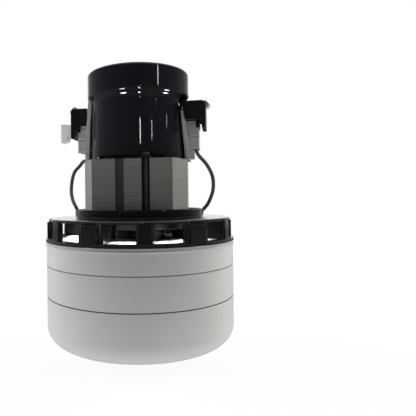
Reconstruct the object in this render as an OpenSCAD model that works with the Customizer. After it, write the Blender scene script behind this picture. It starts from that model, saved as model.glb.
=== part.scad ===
// Vacuum motor unit: three fan stages under an exposed universal motor.
// Millimetres, +Z up. The origin is the centre of the intake tube's mouth.
// +X runs along the brushes, and the photograph was taken from eleven degrees right of -Y.

/* [Fan shells] */
// outer diameter of the three pressed shells
shell_d = 144.8; // [130:0.1:160]
// sheet thickness of the shells and of the plates between the stages
shell_t = 1.2; // [0.8:0.1:2]
// height of the intake shell, up to the first seam
intake_h = 36.2; // [33:0.1:45]
// height of the middle shell, between the two seams
middle_h = 23.1; // [22:0.1:30]
// height of the upper shell, from the second seam to its rim
upper_h = 16.4; // [16:0.1:24]
// radius of the intake shell's lower edge
shell_edge_r = 14; // [6:0.5:15]
// depth that each shell's spigot reaches into the shell below
spigot_h = 4; // [2:0.5:5]
// small chamfer that draws each seam
seam_chamfer = 0.5; // [0.2:0.1:0.8]
// radius of the rolled bead on the upper shell's rim
rim_bead_r = 0.9; // [0.5:0.1:1.2]
// diameter of the eye between two stages
eye_d = 50; // [46:0.5:56]

/* [Intake tube] */
// outer diameter of the intake tube
tube_d = 38.1; // [30:0.1:40]
// wall of the intake tube
tube_t = 1.2; // [0.8:0.1:2]
// length of the tube below the intake shell
tube_len = 26; // [16:0.5:34]
// radius of the collar bead at the tube's root
collar_r = 2.1; // [1.5:0.1:2.5]
// width of the collar's flat land round the bead, flush with the shell
collar_land = 1.7; // [1:0.1:3]
// width of the flange that holds the tube inside the shell
tube_flange_w = 3; // [2:0.5:4]

/* [Fans] */
// room between the fans' edge and the shells' inside
fan_room = 9.2; // [8:0.1:15]
// sheet thickness of the fan discs
fan_t = 0.9; // [0.6:0.1:1.2]
// thickness of a fan blade or a guide vane
blade_t = 1.1; // [0.8:0.1:1.6]
// blades on each fan
fan_blades = 8; // [6:1:9]
// guide vanes on each stage plate
guide_vanes = 9; // [6:1:10]
// room between a shell's floor and the fan above it
fan_lift = 2.6; // [2:0.1:3]
// overall height of the first fan
fan_1_h = 15; // [12:0.1:15.5]
// overall height of the second fan
fan_2_h = 11; // [9:0.1:11.5]
// overall height of the third fan
fan_3_h = 10; // [8:0.1:10.2]
// room between a fan and the guide plate above it
guide_lift = 2; // [1.5:0.1:2.3]
// room between the guide plates' edge and the shells' inside
guide_room = 5.2; // [3:0.1:8]
// diameter of the spacer sleeves between the fans
spacer_d = 18; // [16:0.5:20]
// thread diameter of the shaft's fan end
shaft_d = 12; // [10:0.5:13]
// width across the flats of the fan nut
nut_af = 18; // [17:0.5:22]
// height of the fan nut
nut_h = 7; // [5:0.5:8]
// thickness of the fan washer
washer_t = 1.6; // [1:0.1:2]

/* [Exhaust bracket] */
// step from the shells' outside in to the windowed ring's foot
ring_inset = 1.1; // [0.5:0.1:3]
// amount that the ring narrows towards its top, on the radius
ring_taper = 0.6; // [0:0.1:1]
// radial depth of the ring's pillars
ring_t = 4; // [3:0.1:5]
// height of the windowed ring
ring_h = 17.3; // [16:0.1:20]
// rounding of the ring's upper edge
ring_edge_r = 1.5; // [0.8:0.1:2]
// overhang of the lip at the ring's foot beyond the shells
lip_out = 0.5; // [0.1:0.1:1]
// height of the lip
lip_h = 2.5; // [2:0.1:3.5]
// angle covered by half of one lip
lip_half_angle = 26; // [24:0.5:27]
// angle of one discharge window
window_angle = 17.6; // [14:0.1:19]
// angle of a narrow pillar, at the middle of each pair of windows
pillar_angle = 9; // [7:0.5:11]
// angle of a narrow pillar from -Y towards +X
ring_phase = 13.5; // [0:0.5:59]
// depth of the shallow frame round each window
frame_depth = 1; // [0.5:0.1:1.5]
// angle of the groove beside each raised pillar face
groove_angle = 0.9; // [0.6:0.1:1.2]
// thickness of the deck over the windows
deck_t = 2.2; // [1.8:0.1:3]
// rise of the deck from its rim to the seat ring
deck_rise = 0.8; // [0.2:0.1:1.5]
// room between the field core's corners and the seat ring
seat_room = 0.6; // [0.2:0.1:3]
// wall of the seat ring
seat_t = 1.9; // [1.2:0.1:1.9]
// height of the seat ring above the deck
seat_h = 5.6; // [4.5:0.1:8]
// depth that the field core sits in the seat ring
seat_depth = 4; // [3:0.1:4.5]
// inside diameter of the well under the field core
well_d = 82; // [80:0.5:84]
// wall of the well
well_t = 2.5; // [2:0.1:3]
// thickness of the well's floor
well_floor_t = 2.5; // [2:0.1:3]
// thickness of the guide walls between the pillars and the hub
horn_t = 2.2; // [1.6:0.1:3]
// wall of the bearing hub round its seat
hub_t = 4.4; // [4:0.1:5]

/* [Field] */
// width of the field core along the brushes
core_w = 77; // [74:0.5:78]
// width of the field core across the brushes
core_d = 76; // [74:0.5:76]
// half length of its faces across the brushes
core_face_w = 29; // [28:0.1:29.4]
// half length of its faces along the brushes
core_side_w = 21; // [16:0.5:24]
// turn of the field core against the brushes
field_turn = 3; // [0:0.5:8]
// height of the lamination stack
core_h = 40.6; // [40:0.1:46]
// diameter of the field bore
bore_d = 44; // [43.8:0.1:46]
// room between the field coils and the core round them
coil_room = 0.5; // [0.3:0.1:1]
// wall between the field coils' outside and the axes of the through bolts
bolt_wall = 2.7; // [2.5:0.1:4]
// width of a pole's neck
pole_w = 26; // [24:0.5:27]
// thickness of a pole shoe
shoe_t = 4; // [3:0.1:4]
// half angle of a pole shoe
shoe_half_angle = 62; // [55:1:66]
// height of a coil's end turns beyond the core
end_turn_h = 6.8; // [5:0.1:7]
// place of the through bolts along the brushes
bolt_x = 10; // [9:0.5:12]
// shank diameter of the through bolts
bolt_d = 3.5; // [3:0.1:4]
// width of the slot round each through bolt
bolt_slot_w = 5.9; // [5:0.1:6.5]
// depth of the bolt's axis behind the core's face
bolt_inset = 3.8; // [3.6:0.1:4]
// width of the shallow groove beside each bolt slot
core_groove_w = 6.2; // [4:0.1:7]
// depth of the shallow groove
core_groove_depth = 1.5; // [0.8:0.1:2]

/* [Shaft and bearings] */
// outside diameter of the lower bearing
low_d = 32; // [30:0.5:34]
// width of the lower bearing
low_w = 10; // [8:0.5:10]
// diameter of the circle of the lower bearing's ball centres
low_pitch_d = 22; // [21:0.5:23]
// diameter of the lower bearing's balls
low_ball_d = 5.95; // [5:0.05:6.2]
// outside diameter of the upper bearing
top_d = 22; // [21:0.5:24]
// bore of the upper bearing
top_bore_d = 8; // [7:0.5:8]
// width of the upper bearing
top_w = 7; // [6:0.5:7]
// diameter of the circle of the upper bearing's ball centres
top_pitch_d = 15; // [14.5:0.5:16]
// diameter of the upper bearing's balls
top_ball_d = 3.97; // [3:0.01:4.2]
// balls in each bearing
ball_count = 7; // [6:1:7]
// diameter of the shaft through the armature
armature_shaft_d = 16; // [14:0.5:16]

/* [Armature] */
// air gap between the armature core and the field bore
air_gap = 0.6; // [0.4:0.1:1]
// length of the armature core
armature_h = 38; // [36:0.5:40]
// slots in the armature core
armature_slots = 12; // [8:1:16]
// height of the end windings at each end of the armature
winding_h = 5; // [4:0.5:6]
// diameter of the commutator
comm_d = 28; // [26:0.5:30]
// length of the commutator
comm_h = 19; // [17:0.5:20]
// commutator bars
comm_bars = 24; // [12:1:28]
// gap between two bars
comm_gap = 0.6; // [0.4:0.1:0.8]
// depth of a commutator bar
bar_t = 3.5; // [2.5:0.1:4]

/* [Cooling fan and cover] */
// wall of the bracket's base ring and posts, between the coils and the cover
post_t = 2.35; // [1.8:0.05:3]
// overhang of the cover's collar beyond its waist
collar_out = 3.6; // [1.5:0.1:4]
// flare of the cover's foot beyond its waist
foot_flare = 1; // [0.5:0.1:1.5]
// wall of the cover
cover_t = 1.8; // [1.4:0.1:2]
// height of the collar above the shoulder
collar_h = 17.2; // [14:0.1:20]
// radius of the shoulder under the collar
shoulder_r = 3; // [2.5:0.1:3.4]
// radius of the hollow under the shoulder
hollow_r = 6; // [4:0.1:6.5]
// height of the shoulder above the arms
shoulder_rise = 7.2; // [6:0.1:9]
// rounding of the cover's top edge
cover_edge_r = 2; // [1:0.1:2.5]
// height of the cover's foot above the field core
foot_gap = 0.4; // [0.2:0.1:0.8]
// height of the arches in the cover's foot
arch_h = 2.6; // [1.5:0.1:4]
// width of the side openings of the cover
cover_slot_w = 28.6; // [28:0.1:29]
// spokes of the grille in the cover's top
grille_spokes = 6; // [4:1:8]
// room between the cooling fan and the cover's waist
cooler_room = 1.5; // [1:0.1:4]
// height of the cooling fan
cooler_h = 15; // [12:0.5:16]
// blades of the cooling fan
cooler_blades = 9; // [7:1:11]

/* [Brush gear] */
// height of the brushes above the field core
brush_rise = 19.8; // [19:0.1:20]
// length of a brush
brush_len = 19.5; // [17:0.5:20]
// width of a brush
brush_w = 6.9; // [6:0.1:7]
// height of a brush
brush_h = 11.1; // [10:0.1:11.5]
// wall of the brass brush tubes
brush_tube_t = 0.8; // [0.6:0.1:1]
// reach of the brush tubes from the shaft's axis
brush_tube_out = 45.4; // [45:0.1:46]
// room between a brush holder's barrel and the outer prong of its arm
prong_room = 2.5; // [1:0.1:5]
// thickness of an arm's outer prong
prong_t = 3; // [2:0.1:3]
// half width of an arm
arm_half_w = 8.5; // [8.5:0.1:10]
// height of an arm
arm_h = 13.8; // [13:0.1:16]
// drop of the right arm's outer prong below the arm
prong_h = 6; // [5:0.1:9]
// drop of the left arm's outer prong, which carries the connector
left_prong_h = 9.7; // [8:0.1:10.5]
// chamfer of an arm's corner, where the clamp screw sits
arm_chamfer = 2.2; // [1.5:0.1:4]
// half width of a brush holder's barrel
barrel_half_w = 6.8; // [6.5:0.1:7]
// height of a brush holder's barrel
barrel_h = 21; // [20:0.1:21.5]
// thickness of a brush holder's back plate
plate_t = 2.8; // [2:0.1:2.9]
// head diameter of the clamp screws
clamp_head_d = 6.6; // [6:0.1:7.5]
// height of a clamp screw's head
clamp_head_h = 3; // [1.8:0.1:3]
// shank diameter of the clamp screws
clamp_d = 3.8; // [3:0.1:4]
// curls of a brush spring
spring_curls = 7; // [5:1:8]
// coil radius of a brush spring
spring_r = 2.5; // [2:0.1:2.7]
// wire diameter of a brush spring
spring_wire_d = 0.7; // [0.5:0.1:0.8]

/* [Leads and connector] */
// outside diameter of the two leads
lead_d = 2.8; // [2.2:0.1:3]
// depth of the ports that hold the leads' lower ends
port_depth = 2.5; // [1.5:0.1:3]
// length of the supply connector, outwards from the arm
connector_len = 10.5; // [8:0.5:12]
// width of the supply connector
connector_w = 9; // [8:0.5:10]
// height of the supply connector
connector_h = 15; // [14:0.5:17]
// wall of the supply connector
connector_t = 1.3; // [1:0.1:1.6]
// thickness of the supply blade
blade_tab_t = 0.8; // [0.6:0.1:1]

/* [Fits] */
// clearance on the radius between parts that are pressed or slid together
fit_gap = 0.05; // [0.02:0.01:0.1]
// clearance on the radius in a rolling or sliding joint
run_gap = 0.07; // [0.05:0.01:0.1]
// clearance on the radius round the bearing balls
ball_gap = 0.1; // [0.08:0.01:0.15]

/* [Hidden] */
$fn = 96;
e = 0.5;

// levels, from the intake tube's mouth upwards
shell_r = shell_d / 2;
shell_in_r = shell_r - shell_t;
z_shell = tube_len;
z_seam_low = z_shell + intake_h;
z_seam_high = z_seam_low + middle_h;
z_rim = z_seam_high + upper_h;
z_ring = z_rim + shell_t;
z_floor = z_ring + shell_t;
z_deck = z_ring + ring_h;
z_seat_foot = z_deck + deck_rise;
z_seat = z_seat_foot + seat_h;
z_core = z_seat - seat_depth;
z_core_top = z_core + core_h;

// intake tube
tube_r = tube_d / 2;
collar_c = tube_r + collar_r;
land_r = collar_c + collar_r + collar_land;
tube_hole_r = land_r + fit_gap;

// fans and guide plates
fan_r = shell_in_r - fan_room;
guide_r = shell_in_r - guide_room;
fan_eye_r = eye_d / 2 - 1;
z_fan_1 = z_shell + shell_t + fan_lift + 1.2;
z_fan_2 = z_seam_low + shell_t + fan_lift;
z_fan_3 = z_seam_high + shell_t + fan_lift;
z_back_1 = z_fan_1 + fan_1_h;
z_back_2 = z_fan_2 + fan_2_h;
z_back_3 = z_fan_3 + fan_3_h;
z_guide_1 = z_back_1 + guide_lift;
z_guide_2 = z_back_2 + guide_lift;
blade_bow_r = 38;
blade_bow_c = 46;
shaft_r = shaft_d / 2;
z_nut_top = z_back_1 - fan_t - washer_t;
z_shaft_end = z_nut_top - nut_h - 1.4;

// exhaust bracket
ring_r = shell_r - ring_inset;
ring_in_r = ring_r - ring_t;
lip_r = shell_r + lip_out;
core_corner_r = max(norm([core_face_w, core_d / 2]), norm([core_w / 2, core_side_w]));
seat_in_r = core_corner_r + seat_room;
seat_r = seat_in_r + seat_t;
well_r = well_d / 2;
z_window = z_ring + lip_h;
window_h = ring_h - lip_h - deck_t;
pair_angles = [for (i = [0 : 5]) ring_phase - 90 + 60 * i];
window_offset = (pillar_angle + window_angle) / 2;
face_half_angle = 30 - lip_half_angle;
face_bury = 0.3;
face_foot = 0.3;
lip_step = 0.15;
long_horns = [0, 1, 2, 3, 4];
short_horns = [0, 2, 4];
seat_pad_angle = ring_phase - 108;
seat_nick_angle = ring_phase - 73;

// lower bearing, its hub and the well
low_r = low_d / 2;
hub_r = low_r + fit_gap + hub_t;
hub_lip = 1.5;
z_low = z_floor + hub_lip;
z_low_top = z_low + low_w;
z_hub_top = z_low_top + 0.4;
z_well = z_hub_top - 1;
retainer_t = 1;
retainer_screw_c = low_r + 2.4;
retainer_screw_r = 1.1;
retainer_screw_len = 5;

// field
bolt_y = core_d / 2 - bolt_inset;
bolt_r = bolt_d / 2;
coil_in_r = bore_d / 2 + shoe_t + 0.4;
coil_out_r = bolt_y - bolt_wall;
coil_space_r = coil_out_r + coil_room;
coil_half_angle = 60;
coil_hole_half_angle = asin(pole_w / 2 / coil_in_r) + 2;
base_t = 2;
lug_t = 2.4;
bolt_head_h = 2;
bolt_head_r = bolt_d * 0.86;

// armature and commutator
arm_core_r = bore_d / 2 - air_gap;
end_winding_r = arm_core_r - 2.8;
z_arm = z_core + (core_h - armature_h) / 2;
z_arm_top = z_arm + armature_h;
arm_shaft_r = armature_shaft_d / 2;
comm_r = comm_d / 2;
z_brush = z_core_top + brush_rise;
z_comm = z_brush - comm_h / 2;
z_comm_top = z_comm + comm_h;
hub_in_r = comm_r - bar_t;

// commutator bracket and upper bearing
z_arms = z_brush + barrel_h / 2 - 0.5;
z_arms_top = z_arms + arm_h;
bridge_h = 10;
z_bridge_top = z_arms + bridge_h;
top_r = top_d / 2;
top_bore_r = top_bore_d / 2;
z_top = z_arms + 2;
z_top_end = z_top + top_w;
bracket_hub_r = top_r + fit_gap + 3.5;
base_in_r = coil_out_r + 0.6;
post_r = base_in_r + post_t;
post_half_angle = 28;
lug_r = bolt_head_r + 0.9;
waist_r = post_r + fit_gap + cover_t;
foot_r = waist_r + foot_flare;
cover_r = waist_r + collar_out;

// cover and cooling fan
z_foot = z_core_top + foot_gap;
z_shoulder = z_arms_top + shoulder_rise;
shoulder_c = cover_r - shoulder_r;
hollow_c = waist_r + hollow_r;
z_hollow = z_shoulder - sqrt(pow(shoulder_r + hollow_r, 2) - pow(hollow_c - shoulder_c, 2));
z_cover = z_shoulder + collar_h;
z_cover_slot = z_shoulder - 0.4;
z_cooler = z_bridge_top + 3.5;
cooler_nut_h = 4;
cooler_hub_r = 8;
cooler_r = waist_r - cover_t - cooler_room;
arch_pad_left = 10.3;
arch_pad_right = 13.3;
z_shaft_top = z_cooler + cooler_h + cooler_nut_h - 2;

// brush gear
brush_in = comm_r + run_gap;
brush_out = brush_in + brush_len;
tube_half_w = brush_w / 2 + run_gap + brush_tube_t;
tube_half_h = brush_h / 2 + run_gap + brush_tube_t;
tube_in = comm_r + 3.5;
cap_t = 0.8;
end_wall_t = 1.8;
barrel_out = brush_tube_out + cap_t + end_wall_t;
plate_top_x = waist_r - 2.3;
plate_foot_x = foot_r + 0.7;
plate_top_half_w = cover_slot_w / 2 - 0.3;
plate_foot_half_w = 10;
z_plate_top = z_cover_slot - 0.4;
z_right_plate_top = z_arms_top - 6.3;
barrel_in = plate_foot_x - 1.4;
z_barrel = z_arms - barrel_h;
block_h = 7.6;
block_out = 44.5;
block_w = 6;
clamp_len = 10;
prong_in = barrel_out + prong_room;
prong_gusset = 1;
arm_out = prong_in + prong_t;
tooth_h = 5;
cheek_t = 1.4;
cheek_gap = 0.3;
cheek_top_x = cover_r - 4.4;
cheek_foot_x = plate_top_x + plate_t + 1.4;
cheek_web_x = plate_foot_x + plate_t;
lip_t = 0.25;
holder_lip_h = 1.2;
spring_start = brush_out + 0.1 + spring_wire_d / 2;
spring_end = brush_tube_out - 0.1 - spring_wire_d / 2;

// leads: routes from the brush holders to the ports inside the seat ring
lead_sides = 8;
port_r = 47.6;
right_port_angle = 6;
left_port_angle = 190;
right_port = [port_r * cos(right_port_angle), port_r * sin(right_port_angle)];
left_port = [port_r * cos(left_port_angle), port_r * sin(left_port_angle)];
zt = z_core_top;
right_route = [
    [46, -2.5, z_barrel],
    [46, -2.5, z_barrel - 1.5],
    [47.8, -2, zt + 3.6],
    [51.4, -1, zt - 0.4],
    [54.8, 0.2, zt - 5.4],
    [57.4, 1.6, zt - 11.4],
    [58.2, 3, zt - 18],
    [57.4, 4.2, zt - 24.4],
    [55.6, 5, zt - 29.4],
    [53.2, 5.3, z_seat + 2.6],
    [51.2, 5.2, z_seat + 0.2],
    [49.2, 5, z_seat - 1.8],
    [right_port[0], right_port[1], z_core + 0.2],
    [right_port[0], right_port[1], z_core - port_depth]
];
left_route = [
    [-block_out, 3, z_barrel - block_h + 1.7],
    [-block_out - 1.5, 3, z_barrel - block_h + 1.7],
    [-50, 2.6, zt - 1],
    [-53.4, 2, zt - 4.6],
    [-55.6, 1, zt - 10],
    [-56.2, -0.6, zt - 16.2],
    [-55.8, -2.6, zt - 22.6],
    [-54.2, -4.8, zt - 28],
    [-52, -6.8, z_seat + 4.6],
    [-49.9, -8.2, z_seat + 1.6],
    [-48.4, -8.4, z_seat - 1],
    [left_port[0], left_port[1], z_core + 0.4],
    [left_port[0], left_port[1], z_core - port_depth]
];

// supply connector
connector_y = 2;
z_connector = z_arms - left_prong_h - 2.3;
connector_out = arm_out + connector_len;

shell_grey = [0.70, 0.71, 0.70];
metal = [0.80, 0.80, 0.78];
black = [0.10, 0.10, 0.10];
steel = [0.42, 0.40, 0.37];
copper = [0.72, 0.42, 0.22];
brass = [0.78, 0.64, 0.32];
grey = [0.58, 0.60, 0.57];
nylon = [0.92, 0.92, 0.88];
carbon = [0.20, 0.20, 0.20];

// half section helpers
module band(r_in, r_out, z0, z1) {
    translate([r_in, z0]) square([r_out - r_in, z1 - z0]);
}

module tube(r_in, r_out, z0, z1) {
    rotate_extrude() band(r_in, r_out, z0, z1);
}

module sector(r_in, r_out, a0, a1, z0, z1) {
    rotate([0, 0, a0]) rotate_extrude(angle = a1 - a0) band(r_in, r_out, z0, z1);
}

module block(x0, x1, y0, y1, z0, z1) {
    translate([x0, y0, z0]) cube([x1 - x0, y1 - y0, z1 - z0]);
}

module on_both_sides() {
    children();
    rotate([0, 0, 180]) children();
}

module at_bolts() {
    on_both_sides() rotate([0, 0, field_turn]) translate([bolt_x, -bolt_y, 0]) children();
}

// fan stages
module cup(r, edge, z0, z1) {
    band(0, r - edge, z0, z1);
    band(0, r, z0 + edge, z1);
    translate([r - edge, z0 + edge]) circle(edge);
}

module edge_cut(r, z) {
    polygon([[r - seam_chamfer, z], [r + 1, z + seam_chamfer + 1], [r + 1, z - seam_chamfer - 1]]);
}

module intake_tube() color(metal) {
    rotate_extrude() {
        band(tube_r - tube_t, tube_r, 0, z_shell + 2 * shell_t);
        band(tube_r - tube_t, land_r, z_shell, z_shell + 2 * shell_t);
        band(tube_r - tube_t, land_r + tube_flange_w, z_shell + shell_t, z_shell + 2 * shell_t);
        band(tube_r - tube_t, collar_c, z_shell - collar_r, z_shell);
        intersection() {
            translate([collar_c, z_shell]) circle(collar_r);
            band(collar_c - e, collar_c + collar_r + 1, z_shell - collar_r - 1, z_shell);
        }
    }
}

module intake_shell() color(shell_grey) {
    rotate_extrude() {
        difference() {
            cup(shell_r, shell_edge_r, z_shell, z_seam_low);
            cup(shell_in_r, shell_edge_r - shell_t, z_shell + shell_t, z_seam_low + 1);
            band(0, tube_hole_r, z_shell - 1, z_shell + shell_t + 1);
            edge_cut(shell_r, z_seam_low);
        }
    }
}

module stage_shell(z0, z1) {
    spigot_r = shell_in_r - fit_gap;
    rotate_extrude() {
        difference() {
            union() {
                band(shell_in_r, shell_r, z0, z1);
                band(eye_d / 2, shell_in_r + e, z0, z0 + shell_t);
                band(spigot_r - shell_t, spigot_r, z0 - spigot_h, z0 + e);
            }
            edge_cut(shell_r, z0);
            edge_cut(shell_r, z1);
        }
    }
}

module middle_shell() color(shell_grey) {
    stage_shell(z_seam_low, z_seam_high);
}

module upper_shell() color(shell_grey) {
    stage_shell(z_seam_high, z_rim);
    rotate_extrude() translate([shell_r - 0.3, z_rim - rim_bead_r - seam_chamfer]) circle(rim_bead_r);
}

module curved_vanes(count, r_in, r_out, z0, z1) {
    for (i = [0 : count - 1]) rotate([0, 0, i * 360 / count]) intersection() {
        translate([blade_bow_c, 0, 0]) tube(blade_bow_r - blade_t, blade_bow_r, z0, z1);
        tube(r_in, r_out, z0 - 1, z1 + 1);
        block(0, r_out + 1, 0, r_out + 1, z0 - 1, z1 + 1);
    }
}

module guide_plate(z, z_top) {
    tube(spacer_d / 2 + 1.5, guide_r, z, z + shell_t);
    curved_vanes(guide_vanes, eye_d / 2 + 2, guide_r - 1, z + shell_t - 0.2, z_top);
}

module stage_plate_1() color(metal) {
    guide_plate(z_guide_1, z_seam_low);
}

module stage_plate_2() color(metal) {
    guide_plate(z_guide_2, z_seam_high);
}

module fan(z, h) {
    tube(fan_eye_r, fan_r, z, z + fan_t);
    tube(shaft_r + fit_gap, fan_r, z + h - fan_t, z + h);
    mirror([0, 1, 0]) curved_vanes(fan_blades, fan_eye_r + 1.5, fan_r - 0.6, z + fan_t - 0.2, z + h - fan_t + 0.2);
}

module impeller_1() color(metal) {
    fan(z_fan_1, fan_1_h);
}

module impeller_2() color(metal) {
    fan(z_fan_2, fan_2_h);
}

module impeller_3() color(metal) {
    fan(z_fan_3, fan_3_h);
}

module fan_spacers() color(metal) {
    tube(shaft_r + fit_gap, spacer_d / 2, z_back_1, z_back_2 - fan_t);
    tube(shaft_r + fit_gap, spacer_d / 2, z_back_2, z_back_3 - fan_t);
    tube(shaft_r + fit_gap, spacer_d / 2 - 1, z_back_3, z_low);
}

module fan_washer() color(steel) {
    tube(shaft_r + fit_gap, nut_af / 2 + 3, z_nut_top, z_nut_top + washer_t);
}

module fan_nut() color(steel) {
    difference() {
        translate([0, 0, z_nut_top - nut_h]) cylinder(h = nut_h, r = nut_af / 2 / cos(30), $fn = 6);
        translate([0, 0, z_nut_top - nut_h - 1]) cylinder(h = nut_h + 2, r = shaft_r + fit_gap);
    }
}

// light floor plate under the discharge windows, with its ports near the rim
module outlet_plate() color(metal) {
    step_r = guide_r - 5;
    half = window_angle / 2 + 0.2;
    difference() {
        rotate_extrude() {
            band(step_r - shell_t, shell_r + 0.1, z_rim, z_ring);
            band(hub_r - 6, step_r, z_ring, z_floor);
            band(step_r - shell_t, step_r, z_rim, z_floor);
        }
        for (a = pair_angles, s = [-1, 1]) {
            middle = a + s * window_offset;
            sector(step_r + 1, ring_in_r - 0.3, middle - half, middle + half, z_rim - 1, z_ring + 1);
        }
    }
}

// exhaust bracket
module bracket_section() {
    ring_top_r = ring_r - ring_taper;
    polygon([
        [ring_in_r, z_ring],
        [ring_r, z_ring],
        [ring_top_r, z_deck - ring_edge_r],
        [ring_top_r - ring_edge_r, z_deck],
        [seat_r, z_seat_foot],
        [seat_r, z_seat],
        [seat_in_r, z_seat],
        [seat_in_r, z_core],
        [well_r, z_core],
        [well_r, z_well],
        [hub_r, z_well],
        [hub_r, z_hub_top],
        [low_r + fit_gap, z_hub_top],
        [low_r + fit_gap, z_low],
        [low_r - 3.5, z_low],
        [low_r - 3.5, z_floor],
        [hub_r, z_floor],
        [hub_r, z_well - well_floor_t],
        [well_r + well_t, z_well - well_floor_t],
        [well_r + well_t, z_deck - deck_t],
        [ring_in_r, z_deck - deck_t]
    ]);
    translate([ring_top_r - ring_edge_r, z_deck - ring_edge_r]) circle(ring_edge_r);
}

module horn(a_out, a_in, r_in) {
    p = [(ring_in_r + 1) * cos(a_out), (ring_in_r + 1) * sin(a_out)];
    q = [r_in * cos(a_in), r_in * sin(a_in)];
    d = q - p;
    translate([p[0], p[1], z_floor]) rotate([0, 0, atan2(d[1], d[0])])
        block(0, norm(d), -horn_t / 2, horn_t / 2, 0, z_deck - deck_t + e - z_floor);
}

module lead_notch(angle) {
    rotate([0, 0, angle]) block(port_r, seat_r + 2, -2.2, 2.2, z_core, z_seat + 1);
}

module pillar_grooves(middle) {
    for (s = [-1, 1]) {
        near = middle + s * (face_half_angle + 1 - face_bury);
        far = middle + s * (face_half_angle + 1 + groove_angle);
        sector(ring_r - frame_depth, lip_r + 3, min(near, far), max(near, far), z_window, z_deck - ring_edge_r);
    }
}

module windows() {
    half = window_angle / 2;
    rim = atan(frame_depth / ring_r) * 0.9;
    for (a = pair_angles, s = [-1, 1]) {
        middle = a + s * window_offset;
        sector(ring_in_r - 3, ring_r - frame_depth / 2 - ring_taper, middle - half, middle + half,
            z_window, z_window + window_h);
        sector(ring_r - frame_depth - ring_taper, lip_r + 3, middle - half - rim, middle + half + rim,
            z_window - lip_step / 2, z_window + window_h + frame_depth);
    }
}

module exhaust_bracket() color(black) {
    face_r = ring_r + 0.8;
    difference() {
        union() {
            difference() {
                rotate_extrude() bracket_section();
                windows();
                for (a = pair_angles) pillar_grooves(a + 30);
            }
            for (a = pair_angles) {
                sector(ring_in_r + 1, lip_r, a - lip_half_angle, a + lip_half_angle, z_ring, z_window - lip_step);
                sector(ring_in_r + 1, face_r, a + 29 - face_half_angle, a + 31 + face_half_angle,
                    z_ring + face_foot, z_deck - 2 * ring_edge_r);
            }
            difference() {
                union() {
                    for (i = long_horns) horn(pair_angles[i] + 3, pair_angles[i] + 33, hub_r + 6);
                    for (i = short_horns) horn(pair_angles[i] - 24, pair_angles[i] - 40, hub_r + 11);
                }
                translate([0, 0, z_well - e]) cylinder(h = ring_h, r = well_r + 0.5);
                translate([0, 0, z_floor - 1]) cylinder(h = ring_h, r = hub_r - 1);
            }
            at_bolts() translate([0, 0, z_well - e]) cylinder(h = z_core - z_well + e, r = bolt_r + 2.2);
            sector(seat_r - e, seat_r + 0.4, seat_pad_angle, seat_pad_angle + 13, z_seat_foot - e, z_seat - 1.2);
        }
        at_bolts() translate([0, 0, z_well + 1.5]) cylinder(h = ring_h, r = bolt_r + fit_gap);
        for (i = [0 : 2]) rotate([0, 0, 120 * i + 90]) translate([retainer_screw_c, 0, z_hub_top - retainer_screw_len - 1])
            cylinder(h = retainer_screw_len + 2, r = retainer_screw_r + fit_gap);
        lead_notch(right_port_angle);
        lead_notch(left_port_angle);
        rotate([0, 0, seat_nick_angle]) block(port_r, seat_r + 2, -1.3, 1.3, z_seat - 1, z_seat + 1);
        for (p = [right_port, left_port]) translate([p[0], p[1], z_core - port_depth])
            cylinder(h = port_depth + seat_depth + 1, r = lead_d / 2 + 0.15);
    }
}

// bearings
module bearing_groove(pitch_r, ball_r, z) {
    rotate_extrude() translate([pitch_r, z]) circle(ball_r + ball_gap);
}

module bearing_outer(r_out, pitch_r, ball_r, z, w) {
    difference() {
        tube(pitch_r + ball_r * 0.6, r_out, z, z + w);
        bearing_groove(pitch_r, ball_r, z + w / 2);
    }
}

module bearing_inner(r_in, pitch_r, ball_r, z, w) {
    difference() {
        tube(r_in, pitch_r - ball_r * 0.6, z, z + w);
        bearing_groove(pitch_r, ball_r, z + w / 2);
    }
}

module bearing_balls(pitch_r, ball_r, z) {
    for (i = [0 : ball_count - 1]) rotate([0, 0, i * 360 / ball_count])
        translate([pitch_r, 0, z]) sphere(ball_r);
}

module bearing_cage(pitch_r, ball_r, z, w) {
    difference() {
        tube(pitch_r - ball_r * 0.4, pitch_r + ball_r * 0.4, z + ball_r * 0.3, z + w / 2 - 0.3);
        bearing_balls(pitch_r, ball_r + fit_gap, z);
    }
}

module lower_bearing_outer() color(metal) {
    bearing_outer(low_r, low_pitch_d / 2, low_ball_d / 2, z_low, low_w);
}

module lower_bearing_inner() color(metal) {
    bearing_inner(shaft_r + fit_gap, low_pitch_d / 2, low_ball_d / 2, z_low, low_w);
}

module lower_bearing_balls() color(steel) {
    bearing_balls(low_pitch_d / 2, low_ball_d / 2, z_low + low_w / 2);
}

module lower_bearing_cage() color(brass) {
    bearing_cage(low_pitch_d / 2, low_ball_d / 2, z_low + low_w / 2, low_w);
}

module upper_bearing_outer() color(metal) {
    bearing_outer(top_r, top_pitch_d / 2, top_ball_d / 2, z_top, top_w);
}

module upper_bearing_inner() color(metal) {
    bearing_inner(top_bore_r + fit_gap, top_pitch_d / 2, top_ball_d / 2, z_top, top_w);
}

module upper_bearing_balls() color(steel) {
    bearing_balls(top_pitch_d / 2, top_ball_d / 2, z_top + top_w / 2);
}

module upper_bearing_cage() color(brass) {
    bearing_cage(top_pitch_d / 2, top_ball_d / 2, z_top + top_w / 2, top_w);
}

module bearing_retainer() color(metal) {
    difference() {
        tube(low_r - 2.5, hub_r - 0.4, z_hub_top, z_hub_top + retainer_t);
        for (i = [0 : 2]) rotate([0, 0, 120 * i + 90]) translate([retainer_screw_c, 0, z_hub_top - 1])
            cylinder(h = retainer_t + 2, r = retainer_screw_r + fit_gap);
    }
}

module retainer_screws() color(metal) {
    for (i = [0 : 2]) rotate([0, 0, 120 * i + 90]) translate([retainer_screw_c, 0, z_hub_top]) {
        translate([0, 0, -retainer_screw_len]) cylinder(h = retainer_screw_len + retainer_t + e, r = retainer_screw_r);
        translate([0, 0, retainer_t]) cylinder(h = 1.2, r = retainer_screw_r + 0.8);
    }
}

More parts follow.
